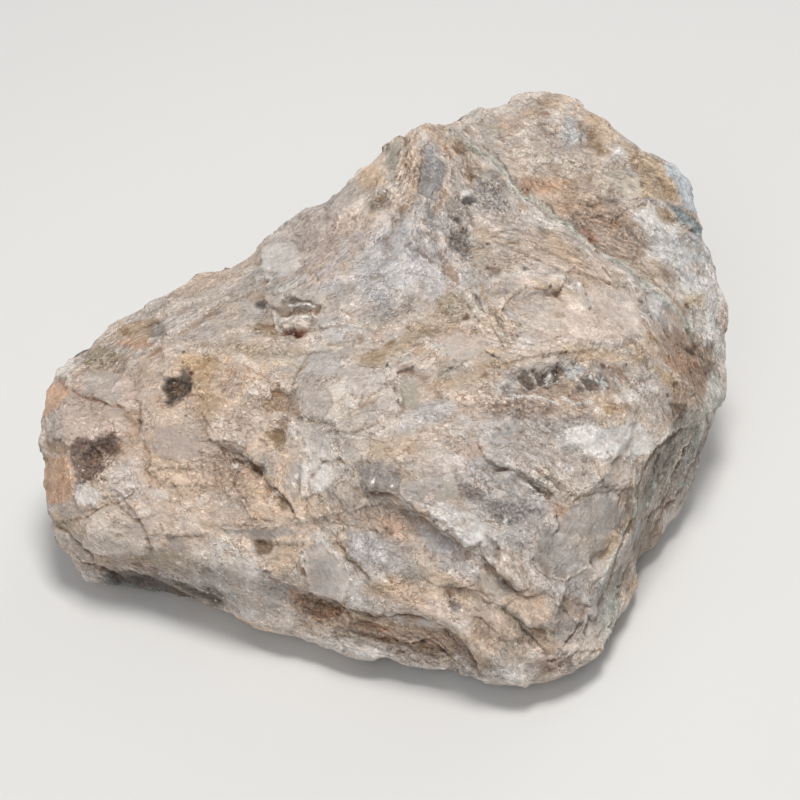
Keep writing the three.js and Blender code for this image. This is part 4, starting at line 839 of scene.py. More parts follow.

# The quartz material, in millimetres: the first of the four ways of its finest grain in degrees, how much it
# and the strands are drawn together along the grain, and how the painted highlight lines are shifted from the
# dark ones. Then the tint of the warm clouds, the tint of the brown stain and painted shade in the hollows,
# the colour of the painted glints, and the light that scatters under the surface: its share, its reach, and
# the share of that for red, green and blue.
FIRST_GRAIN = -30
GRAIN_SQUEEZE = 0.7
STRAND_SQUEEZE = (0.24, 1, 1)
HIGHLIGHT_SHIFT = (13 * MM, 0.0, 0.0)
WARM_TINT = (0.95, 0.76, 0.55)
HOLLOW_STAIN_AND_SHADE = (0.55, 0.39, 0.26)
GLINT_COLOUR = (0.82, 0.8, 0.77)
SCATTERED_SHARE = 0.15
SCATTERED_REACH = 1.2
SCATTERED_COLOURS = (1.0, 0.85, 0.7)

# The textures of the quartz: the size in millimetres, the detail and the roughness of each. Then the detail
# and the roughness of folded noise, and the size of the crinkles that it makes.
TEXTURES = {
    "strand": (0.75, 2, 0.6),
    "fibre": (1.0, 3, 0.65),
    "sugar": (0.5, 2, 0.6),
    "cloud": (5, 4, 0.65),
    "speck": (0.85, 2, 0.7),
}
FOLDED_NOISE = (3, 0.6)
CRINKLE_SIZE = 1.5

# The noise that pushes places aside, as its size and the push in millimetres: under the strands, then under
# the rest
STRAND_PUSH = (5, 2.0)
PUSH = (2.5, 1.3)

# The tilted scales of the finest relief: their size in millimetres, and the step at their lower side as a
# share of it. The cells of the painted glints take the same form. Then how much each of a scale's three
# numbers counts for its shade.
FINE_SCALES = {"broad": (4.6, 0.5), "fine": (1.7, 0.4), "tiny": (0.75, 0.0), "glint cells": (0.5, 0.0)}
SCALE_SHADE = (0.6, 0.0, 0.4)

# The wandering lines: the size in millimetres of the noise that they follow, how many times larger the noise
# is that breaks them, and how strongly they lighten or darken the stone. The pale ones are painted
# highlights.
LINE_SIZES = {"highlight lines": 2.6, "dark lines": 2.8}
BREAK_SIZE = 2.2
HIGHLIGHT_STRENGTH = 0.55
DARK_STRENGTH = 0.75

# Smooth ramps: the values at which each begins and ends, and what it gives there.
RAMPS = {
    "rough": (0.1, 0.9, 1.0, 0.35),
    "fibrous": (0, 1, 0.15, 1.1),
    "highlight lines": (0.028, 0.0056, 0, 1),
    "dark lines": (0.02, 0.004, 0, 1),
    "line breaks": (0.42, 0.56, 0, 1),
    "fibre shade": (0.3, 0.7, 0.96, 1.05),
    "sugar shade": (0.3, 0.7, 0.95, 1.06),
    # a painted highlight along the crinkle ridges
    "crinkle highlight": (0.0, 0.12, 1.07, 0.97),
    "tiny shade": (0.1, 0.9, 0.93, 1.07),
    "fine shade": (0.1, 0.9, 0.94, 1.06),
    "broad shade": (0.1, 0.9, 0.96, 1.04),
    "light specks": (0.54, 0.66, 0, 0.5),
    "dark specks": (0.5, 0.4, 0, 0.55),
    "light streaks": (0.52, 0.62, 0, 0.28),
    "dark streaks": (0.48, 0.36, 0, 0.32),
    "pale edges": (-0.02, -0.3, 1.0, 1.2),
    "warm clouds": (0.54, 0.74, 0, 0.35),
    # brown stain and painted shade in hollows and valleys
    "hollow stain and shade": (0.06, 0.5, 0, 0.6),
    "valley stain and shade": (0.5, 2.0, 0, 0.25),
    "painted glints": (0.9, 0.93, 0, 0.6),
    "glint clouds": (0.4, 0.55, 0, 1),
    "broad relief": (0, 1, 0.6, 1.5),
    "fine relief": (0, 1, 0.7, 1.1),
    "matt grain": (0.2, 0.85, 0.8, 0.38),
    "facet gloss": (0.9, 0.35, 0, 0.12),
}

# How far the parts of the finest relief lift the stone: the tiny scales as a share of their height, and the
# rest in metres where their value is 1
TINY_LIFT = 0.8
CRINKLE_LIFT = -1.3 * MM
SUGAR_LIFT = 0.1 * MM
HIGHLIGHT_LINE_LIFT = 0.1 * MM
DARK_LIFT = -0.15 * MM
STRAND_LIFT = 0.25 * MM


def smoothstep(value, low, high):
    share = np.clip((value - low) / (high - low), 0, 1)
    return share * share * (3 - 2 * share)


def bell(distance):
    return np.exp(-distance ** 2)


def scatter(x, y, z, seed):
    """A number from 0 to 1 for each cell of a grid, the same in every run."""
    number = (x * MIXERS[0] + y * MIXERS[1] + z * MIXERS[2] + seed * MIXERS[3]) & MIX_LIMIT
    number = ((number ^ (number >> 13)) * MIXERS[2]) & MIX_LIMIT
    return (number ^ (number >> 16)) / MIX_LIMIT


def scattered(cells, seed):
    """Three scattered numbers for each cell."""
    return np.stack([scatter(*cells.T, seed + axis) for axis in range(3)], axis=1)


def swell(points, seed):
    """Smooth noise from about -1 to 1, with one swell to a unit of length."""
    base = np.floor(points).astype(np.int64)
    part = points - base
    fade = part ** 3 * (part * (part * 6 - 15) + 10)
    total = np.zeros(len(points))
    for corner in np.ndindex(2, 2, 2):
        share = np.where(corner, fade, 1 - fade).prod(axis=1)
        slopes = scattered(base + corner, seed) - 0.5
        for axis in range(3):
            total += share * slopes[:, axis] * (part[:, axis] - corner[axis])
    return SWELL_GAIN * total


def noise(points, name):
    """Smooth noise of one of the kinds, whose largest swells are as far apart as its size."""
    size, octaves, seed = NOISES[name]
    total = np.zeros(len(points))
    for octave in range(octaves):
        total += swell(points / size * 2 ** octave, seed + 10 * octave) / 2 ** octave
    return total


def nearest_cells(points, seed):
    """The cell whose jittered middle is nearest to each point, and the point's place from that middle."""
    base = np.floor(points).astype(np.int64)
    nearest = np.full(len(points), np.inf)
    offset = np.zeros_like(points)
    cell = np.zeros_like(base)
    for step in np.ndindex(3, 3, 3):
        place = base + (np.array(step) - 1)
        away = points - (place + scattered(place, seed))
        distance = (away ** 2).sum(axis=1)
        closer = distance < nearest
        nearest[closer] = distance[closer]
        offset[closer] = away[closer]
        cell[closer] = place[closer]
    return cell, offset


def cad_mesh():
    """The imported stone's vertices, merged, in millimetres, and its triangles."""
    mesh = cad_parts["citrine_stone"].data
    mesh.calc_loop_triangles()
    points = np.empty(len(mesh.vertices) * 3)
    mesh.vertices.foreach_get("co", points)
    triangles = np.empty(len(mesh.loop_triangles) * 3, int)
    mesh.loop_triangles.foreach_get("vertices", triangles)
    points = points.reshape(-1, 3) / MM
    _, first, merged = np.unique(points.round(3), axis=0, return_index=True, return_inverse=True)
    triangles = merged.ravel()[triangles].reshape(-1, 3)
    whole = (triangles != np.roll(triangles, 1, axis=1)).all(axis=1)
    return points[first], triangles[whole]


def vertex_normals(points, triangles):
    a, b, c = (points[triangles[:, i]] for i in range(3))
    facing = np.cross(b - a, c - a)
    normals = np.zeros_like(points)
    for axis in range(3):
        for i in range(3):
            normals[:, axis] += np.bincount(triangles[:, i], facing[:, axis], len(points))
    return normals / (np.linalg.norm(normals, axis=1, keepdims=True) + 1e-12)


def edges_of(triangles):
    """The two ends of every edge, each edge once, and the edge at each side of each triangle."""
    sides = np.sort(triangles[:, [[0, 1], [1, 2], [2, 0]]].reshape(-1, 2), axis=1)
    count = triangles.max() + 1
    keys, number = np.unique(sides[:, 0] * count + sides[:, 1], return_inverse=True)
    return keys // count, keys % count, number.reshape(-1, 3)


def neighbour_means(values, edges):
    """For each vertex, the mean of its neighbours' values."""
    starts, ends, _ = edges
    total = np.empty_like(values)
    for axis, column in enumerate(values.T):
        total[:, axis] = np.bincount(starts, column[ends], len(values))
        total[:, axis] += np.bincount(ends, column[starts], len(values))
    count = np.bincount(starts, minlength=len(values)) + np.bincount(ends, minlength=len(values))
    return total / count[:, None]


def pixels_of(points):
    """The pixel at which each point shows in the reference view."""
    offset = points - HEART
    scale = PIXEL * (VIEW_DISTANCE - offset @ TO_VIEWER) / VIEW_DISTANCE
    right = PICTURE_MIDDLE + offset @ RIGHT / scale
    down = PICTURE_MIDDLE - offset @ PICTURE_UP / scale
    return np.stack([right, down], axis=1)


def near(pixels, path, reach):
    """The numbers of the pixels that lie within reach of a path's bounding box."""
    (left, top), (right, bottom) = np.min(path, axis=0) - reach, np.max(path, axis=0) + reach
    x, y = pixels.T
    return np.flatnonzero((x > left) & (x < right) & (y > top) & (y < bottom))


def from_path(pixels, path):
    """For each pixel, how far it lies from a path, with a sign that is positive at its left, and its share of
    the way along."""
    path = np.array(path, float)
    lengths = np.linalg.norm(np.diff(path, axis=0), axis=1)
    nearest = np.full(len(pixels), np.inf)
    signed = np.zeros(len(pixels))
    along = np.zeros(len(pixels))
    for i, length in enumerate(lengths):
        step = (path[i + 1] - path[i]) / length
        offset = pixels - path[i]
        reach = np.clip(offset @ step, 0, length)
        distance = np.linalg.norm(offset - reach[:, None] * step, axis=1)
        side = np.sign(offset[:, 0] * step[1] - offset[:, 1] * step[0])
        closer = distance < nearest
        nearest[closer] = distance[closer]
        signed[closer] = (distance * side)[closer]
        along[closer] = ((lengths[:i].sum() + reach) / lengths.sum())[closer]
    return signed, along


def inside(pixels, corners):
    """How far each pixel lies inside an outline, and below zero how far outside it."""
    corners = np.array(corners, float)
    within = np.zeros(len(pixels), bool)
    x, y = pixels.T
    for start, end in zip(corners, np.roll(corners, -1, axis=0)):
        crosses = (start[1] > y) != (end[1] > y)
        rise = end[1] - start[1] or 1
        within ^= crosses & (x < start[0] + (y - start[1]) * (end[0] - start[0]) / rise)
    distance = abs(from_path(pixels, np.vstack([corners, corners[:1]]))[0])
    return np.where(within, distance, -distance)


def from_ellipse(pixels, x, y, half_along, half_across, slant):
    """The distance of each pixel from the middle of an ellipse, as a share of its half size."""
    turn = math.radians(slant)
    across, down = pixels[:, 0] - x, pixels[:, 1] - y
    along = across * math.cos(turn) + down * math.sin(turn)
    beside = down * math.cos(turn) - across * math.sin(turn)
    return np.hypot(along / half_along, beside / half_across)


def ellipse_parts(pixels, zones):
    """For each ellipse, the pixels it reaches, their distances as shares of its half size, and its last
    values."""
    for x, y, half_along, half_across, slant, *values in zones:
        where = near(pixels, [(x, y)], 1.7 * max(half_along, half_across))
        yield where, from_ellipse(pixels[where], x, y, half_along, half_across, slant), values


def tapering(along, length):
    return smoothstep(along, 0, length) * smoothstep(1 - along, 0, length)


def fine_lines():
    """The lines along which the mesh is finest."""
    for path, *_ in CRACKS + RIBS + LEDGES:
        yield path
    for corners, *_ in FACETS:
        yield corners + corners[:1]
    for x, y, *_ in SPOTS:
        yield [(x - 1, y), (x + 1, y)]


def line_map():
    """For each whole pixel of the picture, whether a line is close to it."""
    close = np.zeros((2 * PICTURE_MIDDLE, 2 * PICTURE_MIDDLE), bool)
    for path in fine_lines():
        for start, end in zip(path, path[1:]):
            spots = np.linspace(start, end, 3 + int(2 * math.dist(start, end)))
            for right, down in np.ndindex(2 * LINE_REACH + 1, 2 * LINE_REACH + 1):
                columns, rows = (spots + (right - LINE_REACH, down - LINE_REACH)).round().astype(int).T
                close[rows, columns] = True
    return close


def longest_edges(points, shown, close_to_line):
    """The longest edge that may stay at each point."""
    columns, rows = pixels_of(points).round().astype(int).T
    fine = close_to_line[rows, columns] & (shown > 0.5)
    limit = np.where(fine, LINE_EDGE, SHOWN_EDGE * shown + HIDDEN_EDGE * (1 - shown))
    return np.where(points[:, 2] < FOOT_HEIGHT, FOOT_EDGE, limit)


def cut_fine(points, triangles, shown):
    """Halves the edges that are too long, again and again."""
    close_to_line = line_map()
    for _ in range(CUT_ROUNDS):
        starts, ends, number = edges_of(triangles)
        middles = (points[starts] + points[ends]) / 2
        middle_shown = (shown[starts] + shown[ends]) / 2
        length = np.linalg.norm(points[starts] - points[ends], axis=1)
        long = length > LINE_EDGE
        long[long] = length[long] > longest_edges(middles[long], middle_shown[long], close_to_line)
        new_number = np.full(len(starts), -1)
        new_number[long] = len(points) + np.arange(long.sum())
        points = np.vstack([points, middles[long]])
        shown = np.concatenate([shown, middle_shown[long]])
        triangles = split(triangles, new_number[number])
    return points, triangles


def split(triangles, middles):
    """Cuts each triangle at the middles of its edges, where a middle is given."""
    parts = [triangles[(middles < 0).all(axis=1)]]
    cut = (middles >= 0).all(axis=1)
    (a, b, c), (ab, bc, ca) = triangles[cut].T, middles[cut].T
    parts += [np.stack(corners, 1) for corners in [(a, ab, ca), (ab, b, bc), (ca, bc, c), (ab, bc, ca)]]
    for turn in range(3):
        turned = np.roll(triangles, -turn, axis=1)
        middle = np.roll(middles, -turn, axis=1)
        one = (middle[:, 0] >= 0) & (middle[:, 1] < 0) & (middle[:, 2] < 0)
        (a, b, c), ab = turned[one].T, middle[one, 0]
        parts += [np.stack([a, ab, c], 1), np.stack([ab, b, c], 1)]
        two = (middle[:, 0] >= 0) & (middle[:, 1] >= 0) & (middle[:, 2] < 0)
        (a, b, c), ab, bc = turned[two].T, middle[two, 0], middle[two, 1]
        parts += [np.stack([ab, b, bc], 1), np.stack([a, ab, bc], 1), np.stack([a, bc, c], 1)]
    return np.vstack(parts)


def rounded(points, edges):
    on_foot = points[:, 2] < FOOT_HEIGHT
    for _ in range(ROUNDING):
        points = points * 0.5 + neighbour_means(points, edges) * 0.5
        points[on_foot, 2] = 0
    return points


def hollows(points, triangles, edges, rounds):
    """How far each vertex lies below the surface around it, in millimetres."""
    smooth = points
    for _ in range(rounds):
        smooth = neighbour_means(smooth, edges)
    return ((smooth - points) * vertex_normals(smooth, triangles)).sum(axis=1)


def grain_turns(pixels):
    """The direction in which the stone splits at each pixel, in degrees clockwise from the right."""
    total = np.zeros(len(pixels), complex)
    for x, y, degrees in GRAIN:
        away = (pixels[:, 0] - x) ** 2 + (pixels[:, 1] - y) ** 2
        total += np.exp(-away / GRAIN_REACH ** 2 / 2) * np.exp(2j * math.radians(degrees))
    return np.degrees(np.angle(total + 1e-9)) / 2


def along_grain(points, degrees):
    """The points' places along the grain, drawn together, then across it and towards the viewer."""
    turn = math.radians(degrees)
    offset = points - HEART
    across, up, out = offset @ RIGHT, offset @ PICTURE_UP, offset @ TO_VIEWER
    along = across * math.cos(turn) - up * math.sin(turn)
    beside = up * math.cos(turn) + across * math.sin(turn)
    return np.stack([along / SCALE_STRETCH, beside, out], axis=1)


def broken_scales(points, turns, size, seed):
    """Small tilted faces that rise towards their lower side and end there in a step: the height of each
    point, and a number from -0.5 to 0.5 for its face."""
    lift = np.empty(len(points))
    face = np.empty(len(points))
    steps = np.round(turns / SCALE_TURN)
    for step in np.unique(steps):
        where = steps == step
        cell, offset = nearest_cells(along_grain(points[where], step * SCALE_TURN) / size, seed + int(step))
        tilt = scattered(cell, seed + 20) - 0.5
        face[where] = scatter(*cell.T, seed + 30) - 0.5
        lift[where] = (SCALE_TILT * tilt * offset).sum(axis=1) - SCALE_STEP * offset[:, 1]
        lift[where] += SCALE_LEVELS * face[where]
    return lift, face


def linear(name):
    """A colour of the stone as shares of light."""
    share = np.array(COLOURS[name]) / 255
    return np.where(share < 0.04045, share / 12.92, ((share + 0.055) / 1.055) ** 2.4)


class Surface:
    """The fine surface of the stone: for every vertex its lift over the rounded stone in millimetres, its
    colour, the turn of its grain, and how smooth, grainy, fibrous and hidden it is."""

    def __init__(self, points, normals):
        self.points = points
        self.everywhere = np.arange(len(points))
        self.seen = smoothstep(normals @ TO_VIEWER, *SEEN_TURN)
        self.hidden = 1 - self.seen
        self.shift = np.stack([noise(points, "aside"), noise(points, "below")], axis=1)
        self.pixels = pixels_of(points) + WAVER * self.shift
        self.turns = grain_turns(self.pixels) + GRAIN_WAVER * noise(points, "turn")
        self.colours = np.tile(linear("cream"), (len(points), 1))
        self.loose = LOOSE_SWELL * noise(points, "loose")
        self.lift, self.smooth, self.grainy, self.fibrous = np.zeros((4, len(points)))

    def paint(self, where, name, share):
        """Mixes a colour into those of some of the vertices."""
        self.colours[where] += (linear(name) - self.colours[where]) * share[:, None]

    def add_scales(self):
        """The broken scales all over the stone, and the numbers of the faces of each size."""
        faces = []
        for number, (size, height) in enumerate(SCALES):
            lift, face = broken_scales(self.points, self.turns, size, 100 + 50 * number)
            self.loose += height * lift * (SCALES_HIDDEN - SCALES_LOSS * self.seen)
            faces.append(face)
        return faces

    def add_clouds(self, faces):
        """The clouds of colour, which keep to the faces of the scales."""
        values = {"height": self.points[:, 2]}
        for kind, (number, face_share, noise_share) in CLOUD_FORMS.items():
            values[kind] = face_share * faces[number] + noise_share * noise(self.points, kind)
        for kind, way, low, high, name, strength, more_hidden in CLOUDS:
            share = (strength + more_hidden * self.hidden) * smoothstep(way * values[kind], low, high)
            self.paint(self.everywhere, name, share)
        self.grainy += HIDDEN_GRAIN * self.hidden * smoothstep(abs(values["orange"]), *HIDDEN_GRAIN_FROM)
        self.fibrous += HIDDEN_FIBRES * self.hidden * smoothstep(values["stain"], *HIDDEN_FIBRES_FROM)

    def add_patches(self):
        ragged = PATCH_RAG * noise(self.points, "patch edge")
        for where, radius, (name, strength) in ellipse_parts(self.pixels, PATCHES):
            share = 1 - smoothstep(radius + ragged[where], *PATCH_EDGE)
            self.paint(where, name, strength * share * self.seen[where])
        for zones, amount in ((GRAINY, self.grainy), (FIBROUS, self.fibrous)):
            for where, radius, (strength,) in ellipse_parts(self.pixels, zones):
                share = strength * (1 - smoothstep(radius + ragged[where], *ZONE_EDGE))
                amount[where] = np.maximum(amount[where], share * self.seen[where])

    def add_facets(self):
        ragged = noise(along_grain(self.points, RAG_WAY), "facet edge")
        for corners, name, strength, right, down, height, smooth in FACETS:
            where = near(self.pixels, corners, FACET_REACH)
            pixels = self.pixels[where]
            loose = 1 - smooth
            depth = inside(pixels, corners) + (FACET_RAG + LOOSE_RAG * loose) * ragged[where]
            edge = FACET_EDGE + LOOSE_EDGE * loose
            share = smoothstep(depth, -edge, edge) * self.seen[where]
            across, below = (pixels - np.mean(corners, axis=0)).T / SLOPE_RUN
            self.loose[where] *= 1 - share * smooth
            self.lift[where] += share * (right * across + down * below + height)
            self.smooth[where] = np.maximum(self.smooth[where], share * smooth)
            self.paint(where, name, strength * share)
            line = bell(depth / FACET_EDGE) * smoothstep(self.shift[where, 0], *EDGE_BREAKS)
            self.paint(where, "brown", EDGE_BROWN * smooth * line * self.seen[where])

    def add_ledges(self):
        for path, drop in LEDGES:
            where = near(self.pixels, path, FADED * LEDGE_REACH)
            signed, along = from_path(self.pixels[where], path)
            ends = tapering(along, LEDGE_TAPER) * self.seen[where]
            low = np.exp(-np.clip(signed, 0, None) / LEDGE_REACH) * smoothstep(signed, *LEDGE_STEP)
            lip = np.exp(-np.clip(-signed, 0, None) / LIP_REACH) * smoothstep(-signed, *LIP_STEP)
            self.lift[where] += ends * (LIP_HEIGHT * lip - low) * drop
            # A painted shadow on the low ground and a painted highlight on the lip.
            for name, strength, place, half_width in LEDGE_SHADOW_AND_HIGHLIGHT:
                self.paint(where, name, strength * ends * bell((signed - place) / half_width))

    def add_lines(self, lines, way):
        """Lines that rise where the way is 1 and sink where it is -1."""
        for path, half_width, height, name, strength in lines:
            where = near(self.pixels, path, FADED * half_width)
            signed, along = from_path(self.pixels[where], path)
            width = half_width * (LINE_WIDTH + LINE_CHANGE * self.shift[where, 1])
            share = bell(signed / width) * tapering(along, LINE_TAPER) * self.seen[where]
            self.lift[where] += LINE_HEIGHT * way * height * share
            self.paint(where, name, strength * share)

    def add_spots(self):
        for x, y, radius, name in SPOTS:
            where = near(self.pixels, [(x, y)], 2 * radius)
            distance = np.linalg.norm(self.pixels[where] - (x, y), axis=1)
            share = (1 - smoothstep(distance / radius, *SPOT_EDGE)) * self.seen[where]
            self.paint(where, name, SPOT_STRENGTH * share)

    def build(self):
        """Adds all the forms and colours, and gives the height of each vertex over the rounded stone."""
        self.add_clouds(self.add_scales())
        self.add_patches()
        self.add_facets()
        self.add_ledges()
        self.add_lines(RIBS, 1)
        self.add_lines(CRACKS, -1)
        self.add_spots()
        return (self.lift + self.loose) * smoothstep(self.points[:, 2], 0, FULL_RELIEF)


def add_number(mesh, name, values):
    attribute = mesh.attributes.new(name, "FLOAT", "POINT")
    attribute.data.foreach_set("value", values.astype(np.float32))


def add_colours(mesh, colours):
    attribute = mesh.attributes.new("tone", "FLOAT_COLOR", "POINT")
    opaque = np.hstack([colours, np.ones((len(colours), 1))])
    attribute.data.foreach_set("color", opaque.astype(np.float32).ravel())


def make_stone():
    points, triangles = cad_mesh()
    shown = smoothstep(vertex_normals(points, triangles) @ TO_VIEWER, *FINE_TURN)
    points, triangles = cut_fine(points, triangles, shown)
    edges = edges_of(triangles)
    points = rounded(points, edges)
    normals = vertex_normals(points, triangles)
    surface = Surface(points, normals)
    shaped = points + normals * surface.build()[:, None]
    shaped[:, 2] = np.maximum(shaped[:, 2], 0)

    mesh = bpy.data.meshes.new("citrine")
    mesh.from_pydata(shaped * MM, [], triangles)
    add_colours(mesh, surface.colours)
    add_number(mesh, "hollow", hollows(shaped, triangles, edges, PIT_ROUNDS))
    add_number(mesh, "valley", hollows(shaped, triangles, edges, VALLEY_ROUNDS))
    for name in ("smooth", "grainy", "fibrous", "hidden"):
        add_number(mesh, name, getattr(surface, name))
    doubled = np.radians(2 * surface.turns)
    add_number(mesh, "turn_across", np.cos(doubled))
    add_number(mesh, "turn_down", np.sin(doubled))
    mesh.shade_smooth()
    stone = bpy.data.objects.new("citrine", mesh)
    bpy.context.scene.collection.objects.link(stone)
    return stone


class Nodes:
    """Adds shader nodes to a material and links them."""

    def __init__(self, material):
        material.use_nodes = True
        self.tree = material.node_tree
        self.tree.nodes.clear()

    def add(self, kind, settings=None, **inputs):
        node = self.tree.nodes.new(kind)
        for name, value in (settings or {}).items():
            setattr(node, name, value)
        for name, value in inputs.items():
            self.put(node, name.replace("_", " "), value)
        return node

    def put(self, node, socket, value):
        """Gives a socket a value or a link. The socket is named, or numbered where names repeat."""
        target = node.inputs[socket]
        if isinstance(value, bpy.types.NodeSocket):
            self.tree.links.new(value, target)
        else:
            target.default_value = value

    def maths(self, operation, first, second=0.0):
        node = self.add("ShaderNodeMath", {"operation": operation})
        self.put(node, 0, first)
        self.put(node, 1, second)
        return node.outputs[0]

    def plus(self, first, second):
        return self.maths("ADD", first, second)

    def minus(self, first, second):
        return self.maths("SUBTRACT", first, second)

    def times(self, *values):
        product = values[0]
        for value in values[1:]:
            product = self.maths("MULTIPLY", product, value)
        return product

    def ramp(self, value, name):
        """What one of the smooth ramps gives for a value."""
        low, high, to_low, to_high = RAMPS[name]
        node = self.add("ShaderNodeMapRange", {"interpolation_type": "SMOOTHSTEP"}, Value=value, From_Min=low,
                        From_Max=high, To_Min=to_low, To_Max=to_high)
        return node.outputs["Result"]

    def noise(self, place, size, detail=2.0, roughness=0.5):
        node = self.add("ShaderNodeTexNoise", Vector=place, Scale=1 / (size * MM), Detail=detail,
                        Roughness=roughness)
        return node.outputs["Fac"]

    def ridges(self, place, size):
        """Noise folded at its middle: 0 along wandering lines, and higher beside them."""
        return self.maths("ABSOLUTE", self.minus(self.noise(place, size, *FOLDED_NOISE), 0.5))

    def vector(self, operation, first, second=(0, 0, 0), third=(0, 0, 0), output="Vector"):
        node = self.add("ShaderNodeVectorMath", {"operation": operation})
        for index, value in enumerate((first, second, third)):
            self.put(node, index, value)
        return node.outputs[output]

    def dot(self, first, second):
        return self.vector("DOT_PRODUCT", first, second, output="Value")

    def choose(self, which, first, second):
        """The first vector where the number is 0, and the second where it is 1."""
        node = self.add("ShaderNodeMix", {"data_type": "VECTOR"})
        self.put(node, 0, which)
        self.put(node, 4, first)
        self.put(node, 5, second)
        return node.outputs[1]

    def warped(self, place, size, amount):
        """The places, each pushed aside by a little noise."""
        node = self.add("ShaderNodeTexNoise", Vector=place, Scale=1 / (size * MM), Detail=2.0)
        return self.vector("MULTIPLY_ADD", node.outputs["Color"], (amount * MM,) * 3, place)

    def attribute(self, name, output="Fac"):
        return self.add("ShaderNodeAttribute", {"attribute_name": name}).outputs[output]

    def along_grain(self, place):
        """The places along the grain, across it and towards the viewer. The grain has one of four ways."""
        across = self.attribute("turn_across")
        down = self.attribute("turn_down")
        base = 2 * math.radians(FIRST_GRAIN)
        first = self.plus(self.times(across, math.cos(base)), self.times(down, math.sin(base)))
        second = self.minus(self.times(down, math.cos(base)), self.times(across, math.sin(base)))
        ways = []
        for number in range(4):
            turn = math.radians(FIRST_GRAIN + 45 * number)
            ways.append(tuple(math.cos(turn) * RIGHT - math.sin(turn) * PICTURE_UP))
        one = self.choose(self.maths("LESS_THAN", first, 0.0), ways[0], ways[2])
        other = self.choose(self.maths("LESS_THAN", second, 0.0), ways[1], ways[3])
        steeper = self.maths("LESS_THAN", self.maths("ABSOLUTE", first), self.maths("ABSOLUTE", second))
        way = self.choose(steeper, one, other)
        beside = self.vector("CROSS_PRODUCT", tuple(TO_VIEWER), way)
        node = self.add("ShaderNodeCombineXYZ", X=self.times(self.dot(place, way), GRAIN_SQUEEZE),
                        Y=self.dot(place, beside), Z=self.dot(place, tuple(TO_VIEWER)))
        return node.outputs[0]

    def lines(self, place, name):
        """Thin wandering lines: 1 on a line and 0 beside it."""
        size = LINE_SIZES[name]
        broken = self.ramp(self.noise(place, BREAK_SIZE * size, detail=1), "line breaks")
        return self.times(self.ramp(self.ridges(place, size), name), broken)

    def scales(self, place, name):
        """Tilted scales with a step at their lower side: their height in metres, and a shade for each."""
        size, step = FINE_SCALES[name]
        node = self.add("ShaderNodeTexVoronoi", Vector=place, Scale=1 / (size * MM))
        offset = self.vector("SUBTRACT", place, node.outputs["Position"])
        tilt = self.vector("SUBTRACT", node.outputs["Color"], (0.5, 0.5 + step, 0.5))
        return self.dot(offset, tilt), self.dot(node.outputs["Color"], SCALE_SHADE)


